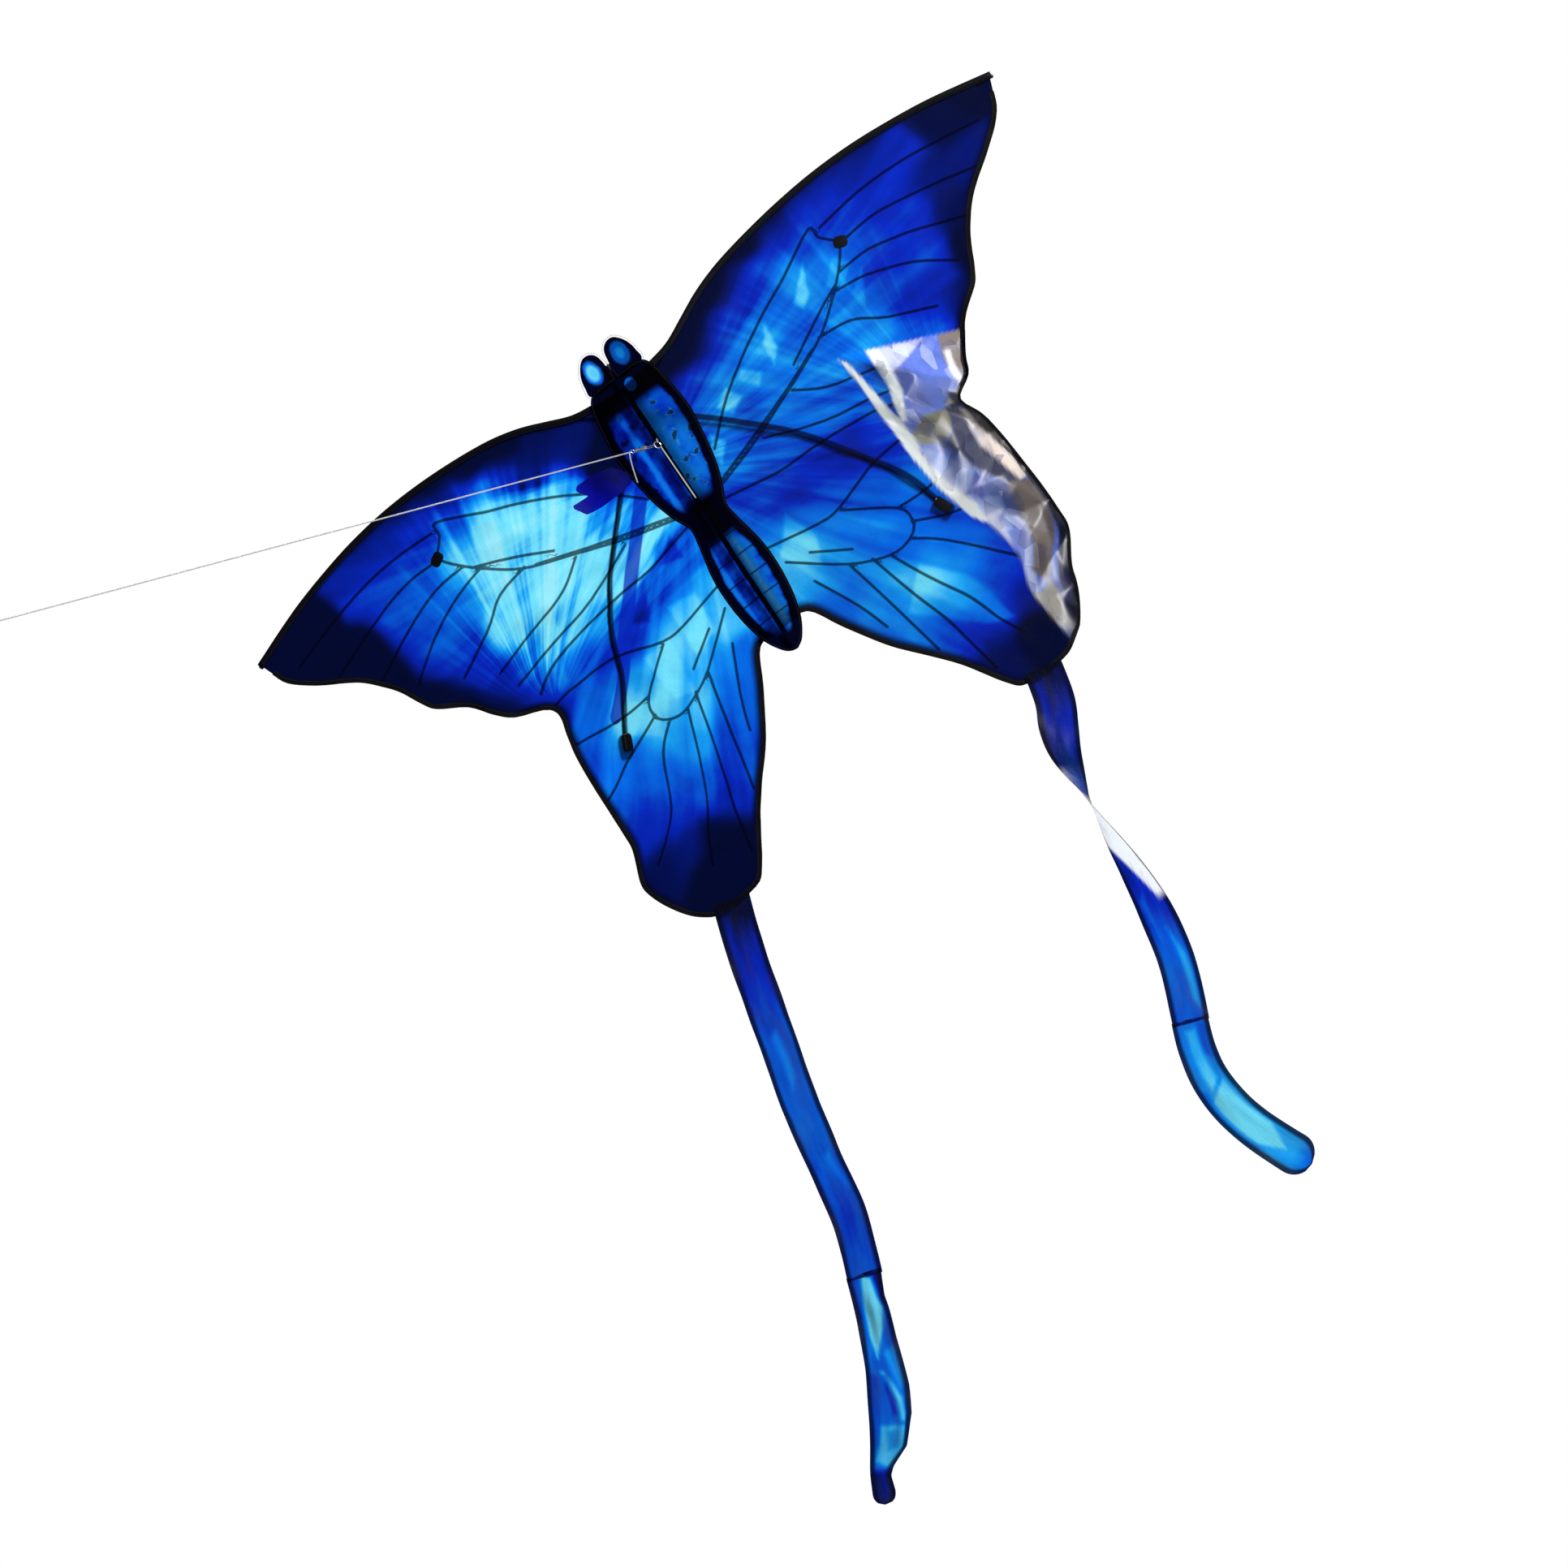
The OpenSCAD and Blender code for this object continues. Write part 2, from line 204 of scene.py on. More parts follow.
# The tone at spots on each wing: 0 is navy, 1 royal, 2 blue, 3 sky, 4 cyan, 5 palest. It is the
# print's dye with painted light on it: the left wing is set brighter than the right, standing for
# the stronger light on the left.
TONES = {
    "left": [
        (20, 60, 0), (80, 30, 0), (60, 0, 0.2), (140, 110, 0.3), (110, 75, 0.4), (200, 150, 0),
        (160, 85, 0.4), (215, 112, 0.7), (280, 132, 0.8), (330, 142, 0.9), (250, 160, 0),
        (310, 170, 0), (240, 100, 2), (305, 108, 2.2), (370, 120, 1.6), (385, 158, 0.8),
        (370, 185, 0), (430, 188, 0), (430, 158, 0.9), (440, 110, 1.2), (480, 155, 0.8),
        (500, 65, 0), (545, 130, 0), (620, 150, 0), (510, 20, 0), (448, 75, 1.5), (443, 25, 1.5),
        (488, 15, 0), (485, -25, 0), (438, -22, 1.2), (470, 112, 1.1), (465, -58, 0),
        (428, -98, 0.1), (390, -145, 0.2), (350, -185, 0.3), (395, -70, 1), (330, -165, 1.1),
        (400, 60, 1.7), (400, -20, 1.6), (365, -110, 1.1), (360, 20, 2.6), (160, 40, 3.2),
        (170, 5, 4.2), (205, 35, 4.7), (250, 85, 4.3), (250, 55, 5), (290, 30, 4.8),
        (320, 60, 3.6), (240, 0, 4.2), (280, -20, 4.1), (240, -60, 5), (290, -60, 4),
        (320, -70, 3.8), (200, -70, 4.4), (250, -110, 3.7), (300, -130, 2.7), (310, -170, 1.7),
        (200, -150, 2.9), (60, -80, 3.8), (40, -40, 1.8), (100, -50, 2.6), (130, -100, 3.7),
        (160, -120, 4.1), (60, -140, 1.8), (120, -170, 1.2), (170, -170, 1), (200, -195, 0.8),
        (245, -190, 1.4), (300, -240, 1.9), (80, -200, 3), (120, -210, 3.2), (80, -250, 3.3),
        (130, -250, 4), (175, -255, 3.6), (220, -250, 2.8), (120, -290, 2.8), (200, -290, 3.9),
        (245, -280, 4.2), (310, -290, 2.2), (340, -290, 1.4), (80, -330, 1.9), (160, -330, 3.3),
        (220, -325, 3), (270, -340, 2.2), (320, -340, 2), (120, -370, 1.7), (200, -370, 2.8),
        (260, -380, 1.7), (340, -380, 1.6), (140, -410, 1.3), (210, -420, 1.5), (280, -420, 1.2),
        (330, -420, 0.8), (200, -450, 1.1), (230, -490, 0.1), (280, -480, 0.5), (330, -480, 0.3),
        (260, -530, 0),
    ],
    "right": [
        (20, 60, 0), (60, 110, 0), (80, 80, 0), (120, 100, 0), (180, 140, 0), (240, 165, 0),
        (300, 180, 0), (75, 45, 0.5), (130, 75, 0.5), (210, 118, 0.6), (290, 150, 0.6),
        (365, 165, 0.8), (360, 190, 0.1), (425, 160, 0.8), (430, 188, 0.1), (160, 70, 1.7),
        (200, 92, 1.2), (240, 112, 1.4), (300, 115, 1.5), (360, 115, 1.4), (330, 145, 1),
        (420, 90, 0.9), (450, 60, 1.1), (440, 0, 1.3), (430, -40, 1), (480, 120, 0.9),
        (500, 80, 0.4), (560, 140, 0.2), (620, 160, 0), (560, 60, 0.4), (500, 20, 0.3),
        (490, -30, 0), (455, -85, 0.3), (80, 35, 1.8), (110, 20, 2.8), (90, -10, 3),
        (150, 25, 2.2), (195, 45, 3.1), (230, 55, 2), (280, 80, 2.6), (310, 60, 2.2),
        (370, 60, 1.5), (400, 20, 1), (360, 0, 1.5), (310, 0, 2.3), (240, 0, 2), (180, -10, 2.3),
        (50, -20, 1.2), (115, -45, 1.3), (160, -60, 2.1), (250, -50, 2.1), (310, -50, 2.4),
        (400, -60, 0.8), (370, -100, 1.7), (60, -80, 2.2), (120, -90, 1.5), (200, -100, 2),
        (280, -110, 1.8), (50, -130, 1.3), (110, -130, 1.5), (170, -150, 0.9), (110, -165, 0.7),
        (210, -165, 0.6), (250, -180, 1.2), (60, -170, 1.6), (330, -170, 1.5), (80, -205, 2.4),
        (150, -205, 1.3), (220, -215, 1.2), (80, -245, 3.5), (120, -235, 2.4), (70, -285, 3),
        (110, -290, 2.6), (160, -260, 2.2), (200, -240, 1.7), (240, -260, 2), (160, -300, 2.2),
        (220, -310, 1.8), (260, -300, 1.6), (80, -335, 1.8), (130, -335, 2.3), (200, -335, 1.7),
        (130, -370, 2.6), (165, -362, 3.4), (200, -365, 3.7), (230, -400, 2.6), (240, -350, 1.7),
        (160, -410, 2.8), (200, -430, 2.3), (240, -440, 1.4), (120, -410, 1.9), (170, -450, 1.6),
        (200, -475, 1.3), (240, -480, 1), (280, -420, 1.2), (300, -480, 0.6), (220, -530, 0.3),
        (280, -530, 0), (330, -500, 0.3), (330, -300, 1.4),
    ],
}

# Painted light on both wings behind the body: the cloth there is set pale so that more light comes
# through the body panel.
BEHIND_BODY = [
    ([(0, -150), (26, -160), (36, -200), (38, -240), (32, -296), (12, -330), (0, -332)], 3.5),
    ([(0, 76), (44, 66), (50, 20), (48, -20), (38, -70), (22, -104), (0, -108)], 4.5),
]
# Small flats of cloth with painted light on them, and painted shade where the amount is below zero,
# with how much they add to the tone.
LIGHT_FLATS = {
    "left": [
        ([(60, -70), (110, -90), (150, -140), (100, -130)], 0.7),
        ([(75, -200), (118, -190), (120, -270), (80, -262)], 0.8),
        ([(140, -225), (188, -225), (180, -300), (150, -310)], 0.5),
        ([(120, -130), (175, -175), (150, -190)], -0.8),
        ([(205, -285), (250, -262), (262, -300), (225, -335)], 0.5),
        ([(60, -110), (96, -138), (60, -150)], -0.9),
        ([(255, -60), (290, -110), (320, -185), (300, -180), (262, -110)], 0.9),
        *BEHIND_BODY,
        ([(160, 60), (196, 70), (180, 10), (160, 14)], 0.6),
        ([(215, 90), (245, 98), (240, 30), (222, 30)], 0.6),
    ],
    "right": [
        *BEHIND_BODY,
        ([(294, 94), (278, 51), (261, 38), (254, 54)], 1.3),
        ([(206, 58), (203, 15), (186, -2), (189, 30)], 1.2),
        ([(145, 23), (167, 0), (154, -14), (134, 11)], 1.2),
        ([(114, 13), (127, -12), (104, -26), (89, -5)], 1.3),
        ([(357, 37), (333, -11), (328, 15)], 0.9),
        ([(332, 76), (349, 54), (320, 29), (302, 46)], 0.8),
        ([(62, -29), (75, -53), (54, -77), (49, -60)], 1.6),
        ([(195, -356), (233, -407), (265, -496), (225, -480), (150, -405)], 0.8),
        ([(87, -187), (106, -238), (90, -280), (50, -236)], 0.9),
    ],
}
# The crumpled strip of the right wing, patch by patch: each patch's colour and its corners. The
# colours are painted reflection and painted shade in place of the print, and the white slivers are
# painted highlights.
PAINTED_GLARE_LAVENDER = (0.14, 0.22, 0.72)
# The flat piece beside its fold, which keeps the wing's own print.
UNTURNED = [(255, -35), (297, -42), (297, -119), (286, -155), (280, -172), (255, -150)]
STRIP_GLARE_PATCHES = [
    ((0.3, 0.44, 0.95), [
        (258, -205), (284, -237), (303, -267), (316, -290), (296, -312), (319, -341), (306, -391),
        (270, -380), (260, -274),
    ]),
    ((0.46, 0.54, 0.84), [
        (287, -341), (301, -348), (301, -385), (291, -428), (310, -461), (308, -485), (278, -471),
        (268, -425), (275, -368),
    ]),
    ((0.2, 0.28, 0.66), [(280, -404), (301, -436), (287, -459), (272, -435)]),
    ((0.2, 0.165, 0.135), [
        (335, -328), (362, -346), (360, -393), (340, -442), (326, -481), (306, -455), (318, -410),
        (325, -368),
    ]),
    ((0.4, 0.38, 0.34), [
        (285, -475), (311, -487), (329, -480), (332, -505), (311, -560), (296, -520), (280, -498),
    ]),
    ((0.24, 0.2, 0.17), [(392, -95), (435, -120), (410, -172), (372, -182), (380, -130)]),
    ((0.27, 0.27, 0.18), [
        (303, -183), (330, -195), (314, -223), (298, -231), (276, -220), (269, -200),
    ]),
    ((0.045, 0.048, 0.09), [
        (330, -190), (341, -209), (337, -242), (346, -297), (354, -342), (337, -331), (317, -287),
        (299, -236), (314, -223),
    ]),
    ((0.01, 0.012, 0.06), [(333, -186), (350, -178), (372, -186), (356, -204), (334, -200)]),
    ((0.03, 0.022, 0.025), [
        (343, -203), (362, -215), (380, -260), (380, -350), (358, -339), (357, -305), (349, -267),
        (341, -236),
    ]),
    ((0.01, 0.012, 0.07), [
        (364, -360), (380, -400), (380, -460), (366, -500), (330, -560), (311, -565), (311, -549),
        (336, -502), (345, -464), (352, -429),
    ]),
    ((0.03, 0.07, 0.62), [(314, -290), (320, -305), (307, -333), (302, -319)]),
    ((0.62, 0.66, 0.93), [(305, -62), (333, -80), (372, -95), (340, -103), (312, -108)]),
    ((0.9, 0.86, 0.82), [(384, -126), (392, -130), (379, -173), (369, -177), (377, -152)]),
    ((1.0, 0.86, 0.76), [
        (339, -205), (343, -209), (342, -237), (349, -264), (358, -303), (360, -339), (350, -338),
        (343, -300), (334, -266), (333, -235),
    ]),
    ((1.0, 0.97, 0.95), [(358, -258), (363, -266), (367, -311), (361, -310), (358, -279)]),
    ((0.92, 1.0, 0.97), [
        (296, -54), (312, -62), (312, -114), (309, -138), (284, -176), (279, -170), (295, -119),
        (295, -80),
    ]),
    ((0.92, 1.0, 0.97), [
        (261, -50), (269, -60), (274, -92), (279, -134), (281, -165), (274, -195), (270, -230),
        (275, -255), (284, -280), (294, -303), (299, -332), (290, -368), (284, -345), (283, -310),
        (273, -285), (263, -255), (257, -230), (256, -212), (264, -167), (266, -136), (265, -92),
    ]),
]


def within(plan, corners, soft=2.0):
    """1 inside a patch and 0 outside it, with a soft rim."""
    loop = np.array(corners + corners[:1], float)
    gap = offset_to(plan, [loop])[1]
    return smooth(np.where(inside(plan, loop[:-1]), gap, -gap), -soft, soft)


def painted_strip_glare(plan):
    """The painted reflection and shade of the crumpled strip at each point, as a colour."""
    colour = np.tile(PAINTED_GLARE_LAVENDER, (len(plan), 1))
    for shade, corners in STRIP_GLARE_PATCHES:
        share = within(plan, corners, 2.5)[:, None]
        colour = colour * (1 - share) + np.array(shade) * share
    return colour


TONE_REACH = 27
FLAT_SHARE = 0.8


def tone_at(side_name, plan):
    """The tone at each point, blended from the spots round it, with the painted light and shade of
    the flats added.
    """
    total = np.zeros(len(plan))
    weights = np.full(len(plan), 1e-9)
    for x, z, tone in TONES[side_name]:
        far = (plan[:, 0] - x) ** 2 + (plan[:, 1] - z) ** 2
        weight = np.exp(-far / TONE_REACH ** 2) + 1e-7
        total += weight * tone
        weights += weight
    tone = total / weights
    for corners, more in LIGHT_FLATS[side_name]:
        tone = tone + more * FLAT_SHARE * within(plan, corners, 3.5)
    return tone


FRONT_RUN = curve(WING_FRONT, 4)
ROD_RUN = curve(ROD_CROSS[2:], 4)
FOLD_UP = [-560, -440, -356, -284, -226, -176, -54]
FOLD_ACROSS = [305, 293, 288, 273, 268, 262, 262]


def turned_strip(x, z):
    """How far a spot lies past the fold that the wind has put in the right wing."""
    past = np.maximum(x - np.interp(z, FOLD_UP, FOLD_ACROSS), 0)
    below = np.maximum(-45 - 0.45 * (x - 262) - z, 0) * 1.6
    return np.minimum(past, below) * smooth(z, -590, -540)


def flutter(side, x, z):
    """How far the cloth stands back from its flat slope, in millimetres."""
    spots = np.stack([np.ravel(x), np.ravel(z)], 1)
    held = smooth(offset_to(spots, [FRONT_RUN])[1], 8, 90)
    held = held * smooth(np.hypot(spots[:, 0] - 270, spots[:, 1] + 310), 20, 110)
    held = held.reshape(np.shape(x)) * smooth(x, 30, 140)
    edge = smooth(x, 200, 420) * smooth(-z, -60, 120)
    belly = 7 * np.sin(np.clip(x / 620, 0, 1) * math.pi)
    waves = 4 * edge * np.sin(z / 21 + x / 60 + side)
    creases = np.array([
        noise.noise(Vector((a / 70, b / 45, side * 3)))
        + 0.5 * noise.noise(Vector((a / 30, b / 24, side)))
        for a, b in spots
    ]).reshape(np.shape(x))
    back = held * (belly + waves + creases * 2.5)
    if side > 0:
        past = turned_strip(x, z)
        crumple = sum(
            high * np.abs((x * way[0] + z * way[1]) / gap % 2 - 1)
            for way, gap, high in (
                ((0.94, 0.34), 34, 7), ((0.5, -0.87), 47, 9),
                ((0.2, 0.98), 61, 8), ((0.98, -0.2), 22, 3),
            )
        )
        back = back * (1 - smooth(past, 0, 30)) + past * 0.33 + crumple * smooth(past, 0, 45) * 0.8
    return back


def cloth_spot(side, x, z, depth=0.0):
    """Where a spot of the cutting plan is on the stretched wing, in metres; side is 1 or -1."""
    x = np.asarray(x, float)
    z = np.asarray(z, float)
    lean = side * TIP_LEAN * (x / TIP) ** 2 * smooth(z, -250, 0)
    spread = side * HIND_SPREAD * smooth(x, 150, 350) * smooth(-z, 140, 230) * smooth(z, -490, -420)
    from_pocket = (x - POCKET[0]) ** 2 + (z - POCKET[1]) ** 2
    spread = spread * (1 - np.exp(-from_pocket / POCKET_REACH ** 2))
    stand = flutter(side, x, z)
    slack = np.maximum(stand - 12, 0)
    return np.stack(
        [
            (side * (x + spread) - slack * 0.17) / 1000,
            (STAND_OFF + x * SLOPE + 1 + depth + stand) / 1000,
            (z + lean + TOW_DROP + slack * 0.36) / 1000,
        ],
        -1,
    )


# ---- camera ----

SEEN_FROM = Vector((1.506, -9.169, -3.889))
AIMED_AT = Vector((-0.126, 0.085, -0.468))
LENS = 171.2
ROLL = math.radians(-33.4)

camera_data = bpy.data.cameras.new("camera")
camera_data.lens = LENS
camera_data.sensor_width = 36
camera_data.clip_end = 200
camera = bpy.data.objects.new("camera", camera_data)
bpy.context.scene.collection.objects.link(camera)
turn = (AIMED_AT - SEEN_FROM).to_track_quat("-Z", "Y").to_matrix()
camera.matrix_world = Matrix.Translation(SEEN_FROM) @ (
    turn @ Matrix.Rotation(ROLL, 3, "Z")
).to_4x4()
bpy.context.scene.camera = camera


# ---- making pieces ----


def placed(name, bm):
    """Turns a mesh under construction into an object of the scene."""
    mesh = bpy.data.meshes.new(name)
    bm.to_mesh(mesh)
    bm.free()
    thing = bpy.data.objects.new(name, mesh)
    bpy.context.scene.collection.objects.link(thing)
    return thing


def finished(name, bm, body, material, hides=(), smooth_faces=True):
    """A piece that rides on a body, takes a colour slot and stands for some CAD nodes."""
    piece = placed(name, bm)
    piece.data.materials.append(material)
    if smooth_faces:
        for face in piece.data.polygons:
            face.use_smooth = True
    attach(piece, body)
    if hides:
        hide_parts(*hides)
    return piece


def cut_cloth(loop, step):
    """A fine grid of cloth cut to a closed outline in (across, up) millimetres."""
    low, high = loop.min(0) - step, loop.max(0) + step
    counts = np.ceil((high - low) / step).astype(int)
    bm = bmesh.new()
    bmesh.ops.create_grid(bm, x_segments=int(counts[0]), y_segments=int(counts[1]), size=0.5)
    span = counts * step
    for v in bm.verts:
        v.co = (low[0] + (v.co.x + 0.5) * span[0], low[1] + (v.co.y + 0.5) * span[1], 0)
    spots = np.array([v.co[:2] for v in bm.verts])
    kept = inside(spots, loop)
    bm.verts.ensure_lookup_table()
    bmesh.ops.delete(bm, geom=[v for v, k in zip(bm.verts, kept) if not k], context="VERTS")
    loose = [v for v in bm.verts if len(v.link_faces) == 0]
    bmesh.ops.delete(bm, geom=loose, context="VERTS")
    for v in bm.verts:
        if v.is_boundary:
            near = nearest_on(np.array(v.co[:2]), loop)
            v.co = (near[0], near[1], 0)
    return bm


def mark(piece, name, values):
    """Stores a number, or three, at each point of the piece for its finish to read."""
    values = np.asarray(values, np.float32)
    if values.ndim == 1:
        piece.data.attributes.new(name, "FLOAT", "POINT").data.foreach_set("value", values)
    else:
        layer = piece.data.attributes.new(name, "FLOAT_VECTOR", "POINT")
        layer.data.foreach_set("vector", values.ravel())


def mark_lines(piece, name, points, runs):
    """Stores the way to the nearest line, so that the line stays crisp between points."""
    offset, far = offset_to(points, runs)
    mark(piece, name, np.column_stack([offset, np.maximum(far - 4, 0) * 1.5]))


def lay_plan(piece, plan):
    """Stores each point's place on the cutting plan, in metres, as the piece's UV map."""
    layer = piece.data.uv_layers.new(name="plan")
    corners = np.empty(len(piece.data.loops), np.int32)
    piece.data.loops.foreach_get("vertex_index", corners)
    layer.data.foreach_set("uv", (plan[corners] / 1000).astype(np.float32).ravel())


def move_points(piece, spots):
    piece.data.vertices.foreach_set("co", np.asarray(spots, np.float32).ravel())
    piece.data.update()


def run_section(bm, centres, sides, ups, profile):
    """Draws a closed profile along the centres; a profile point is (along side, along up)."""
    count = len(profile)
    ring = [bm.verts.new((0, 0, 0)) for _ in profile]
    edges = [bm.edges.new((ring[k], ring[(k + 1) % count])) for k in range(count)]
    first = list(ring)
    for step, (c, s, u) in enumerate(zip(centres, sides, ups)):
        if step:
            made = bmesh.ops.extrude_edge_only(bm, edges=edges)["geom"]
            new = {g for g in made if isinstance(g, bmesh.types.BMVert)}
            ring = [
                next(e.other_vert(v) for e in v.link_edges if e.other_vert(v) in new) for v in ring
            ]
            edges = [bm.edges.get((ring[k], ring[(k + 1) % count])) for k in range(count)]
        for v, (a, b) in zip(ring, profile):
            v.co = Vector(c) + Vector(s) * a + Vector(u) * b
    bm.faces.new(first)
    bm.faces.new(ring)
    bmesh.ops.recalc_face_normals(bm, faces=bm.faces)


def frames_along(path, up):
    """Side and up directions along a path, with up kept near the given direction."""
    p = np.asarray(path, float)
    way = np.gradient(p, axis=0)
    way /= np.linalg.norm(way, axis=1)[:, None]
    up = np.broadcast_to(np.asarray(up, float), p.shape)
    side = np.cross(way, up)
    side /= np.linalg.norm(side, axis=1)[:, None]
    return side, np.cross(side, way)


def circle_profile(radius, count, squash=1.0):
    turns = [2 * math.pi * k / count for k in range(count)]
    return [(radius * math.cos(a), radius * squash * math.sin(a)) for a in turns]


FACE_WAY = (0, -1, 0)


def drawn(path, profile):
    """A new mesh of the profile drawn along the path, its up kept towards the kite's face."""
    bm = bmesh.new()
    run_section(bm, path, *frames_along(path, FACE_WAY), profile)
    return bm


def upright(x, depth, z):
    """Spots of the cutting plan at a depth in metres, in the kite's frame."""
    return np.stack([x / 1000, depth + 0 * x, (z + TOW_DROP) / 1000], 1)


STITCH_PITCH = 0.0032
STITCH_SIZE = (0.0021, 0.0005, 0.0003)


def stitch_row(bm, path):
    """A row of short raised threads along a path, in metres."""
    p = even_run(path, STITCH_PITCH)
    side, up = frames_along(p, FACE_WAY)
    way = np.cross(up, side)
    long, wide, thick = STITCH_SIZE
    for c, s, u, w in zip(p[1:-1], side[1:-1], up[1:-1], way[1:-1]):
        made = bmesh.ops.create_cube(bm, size=1)["verts"]
        rows = [(w[k] * long, s[k] * wide, u[k] * thick, c[k]) for k in range(3)]
        bmesh.ops.transform(bm, matrix=Matrix((*rows, (0, 0, 0, 1))), verts=made)


# ---- finishes ----

# Share of each cloth's look that is light coming through it.
LIGHT_THROUGH = 0.68
NAVY = (0.001, 0.003, 0.03)
ROYAL = (0.002, 0.02, 0.5)
BLUE = (0.002, 0.14, 0.76)
SKY = (0.01, 0.38, 0.93)
CYAN = (0.16, 0.74, 0.97)
INK = (0.0005, 0.001, 0.012)
PALE = (0.42, 0.88, 0.97)


class Flow:
    """One value in a finish; sums and products on it add the nodes they need."""

    def __init__(self, finish, socket):
        self.finish = finish
        self.socket = socket

    def _math(self, operation, *terms):
        node = self.finish.node("ShaderNodeMath", {"operation": operation}, dict(enumerate(terms)))
        return Flow(self.finish, node.outputs[0])

    def __rsub__(self, other):
        return self._math("SUBTRACT", other, self)

    def rise(self, low, high):
        """0 below low and 1 above high, with a soft step between; falls if low is above high."""
        return self.finish.flow(
            "ShaderNodeMapRange",
            {"interpolation_type": "SMOOTHSTEP", "clamp": True},
            {"Value": self, "From Min": low, "From Max": high, "To Min": 0.0, "To Max": 1.0},
        )


def step(operation):
    return lambda flow, *others: flow._math(operation, flow, *others)


for name, operation in {
    "__add__": "ADD", "__radd__": "ADD", "__sub__": "SUBTRACT", "__mul__": "MULTIPLY",
    "__rmul__": "MULTIPLY", "__truediv__": "DIVIDE", "__pow__": "POWER", "abs": "ABSOLUTE",
    "sine": "SINE", "part": "FRACT", "least": "MINIMUM", "most": "MAXIMUM",
}.items():
    setattr(Flow, name, step(operation))


class Finish:
    """A material under construction."""

    def __init__(self, name):
        self.material = bpy.data.materials.new(name)
        self.material.use_nodes = True
        self.tree = self.material.node_tree
        self.tree.nodes.clear()

    def node(self, kind, settings=None, inputs=None):
        node = self.tree.nodes.new(kind)
        for key, value in (settings or {}).items():
            setattr(node, key, value)
        for key, value in (inputs or {}).items():
            socket = node.inputs[key]
            if isinstance(value, Flow):
                self.tree.links.new(value.socket, socket)
            else:
                socket.default_value = (*value, 1) if socket.type == "RGBA" else value
        return node

    def flow(self, kind, settings=None, inputs=None, output=0):
        return Flow(self, self.node(kind, settings, inputs).outputs[output])

    def plan(self):
        """Across and up on the cutting plan, in metres, and the pair as one vector."""
        pair = self.flow("ShaderNodeUVMap", {"uv_map": "plan"})
        apart = self.node("ShaderNodeSeparateXYZ", {}, {0: pair})
        return Flow(self, apart.outputs[0]), Flow(self, apart.outputs[1]), pair

    def place(self):
        return self.flow("ShaderNodeTexCoord", {}, {}, 3)

    def away(self, name):
        """How far the surface is from a marked line, in millimetres."""
        gap = self.flow("ShaderNodeAttribute", {"attribute_name": name}, {}, 1)
        return self.flow("ShaderNodeVectorMath", {"operation": "LENGTH"}, {0: gap}, 1)

    def stretched(self, vector, by):
        return self.flow("ShaderNodeVectorMath", {"operation": "MULTIPLY"}, {0: vector, 1: by})

    def fan(self, across, up, pleats, stretch):
        """A noise of pleats that fan out from a pulled spot, used for painted shade of the pleats;
        across and up are measured from that spot.
        """
        angle = up._math("ARCTAN2", up, across)
        reach = (across ** 2 + up ** 2) ** 0.5
        place = self.flow("ShaderNodeCombineXYZ", {}, {0: angle * pleats, 1: reach * stretch})
        return self.noise(place, 1.0, 2.0)

    def value(self, name):
        return self.flow("ShaderNodeAttribute", {"attribute_name": name}, {}, 2)

    def noise(self, vector, scale, detail=2.0, rough=0.5):
        look = {"Vector": vector, "Scale": scale, "Detail": detail, "Roughness": rough}
        return self.flow("ShaderNodeTexNoise", {}, look)

    def mix(self, factor, low, high):
        kind = {"data_type": "RGBA", "clamp_factor": True}
        return self.flow("ShaderNodeMix", kind, {0: factor, 6: low, 7: high}, 2)

    def bump(self, height, strength, distance=0.001):
        return self.flow(
            "ShaderNodeBump", {}, {"Height": height, "Strength": strength, "Distance": distance}
        )

    def surface(
        self, colour, rough=0.5, normal=None, metal=0.0, shine=None, coat=None,
        dye=None, share=LIGHT_THROUGH, gleam=None, shown=None,
    ):
        """The shader itself; a dye lets its own share of the light come through the cloth."""
        inputs = {"Base Color": colour, "Roughness": rough, "Metallic": metal}
        if shine is not None:
            inputs["Specular IOR Level"] = shine
        if coat is not None:
            inputs.update({"Coat Weight": coat, "Coat Roughness": 0.34, "Coat IOR": 1.6})
        if gleam is not None:
            inputs.update({"Emission Color": shown or colour, "Emission Strength": gleam})
        if normal is not None:
            inputs["Normal"] = normal
        shader = self.flow("ShaderNodeBsdfPrincipled", {}, inputs)
        if dye:
            shader = self.flow("ShaderNodeMixShader", {}, {0: share, 1: shader, 2: dye.through})
        self.node("ShaderNodeOutputMaterial", {}, {0: shader})
        return self.material


class Dye:
    """Colours laid on cloth one over another, print and painted light and shade alike, as one
    colour and as light that comes through.
    """

    def __init__(self, finish, first, normal):
        self.finish = finish
        self.normal = normal
        self.colour = first
        self.through = self.lit(first)

    def lit(self, colour):
        return self.finish.flow(
            "ShaderNodeBsdfTranslucent", {}, {"Color": colour, "Normal": self.normal}
        )

    def lay(self, mask, colour):
        self.colour = self.finish.mix(mask, self.colour, colour)
        self.through = self.finish.flow(
            "ShaderNodeMixShader", {}, {0: mask, 1: self.through, 2: self.lit(colour)}
        )

    def lay_tones(self, tone):
        """Royal, blue, sky and cyan, each laid where the tone rises to it."""
        steps = ((0.1, 1.1, ROYAL), (0.9, 2.2, BLUE), (1.9, 3.3, SKY), (2.9, 4.3, CYAN))
        for low, high, colour in steps:
            self.lay(tone.rise(low, high), colour)


# Heavy threads in a metre of ripstop, and how fast its fine weave repeats.
HEAVY_THREADS = 200
FINE_WEAVE = 9000


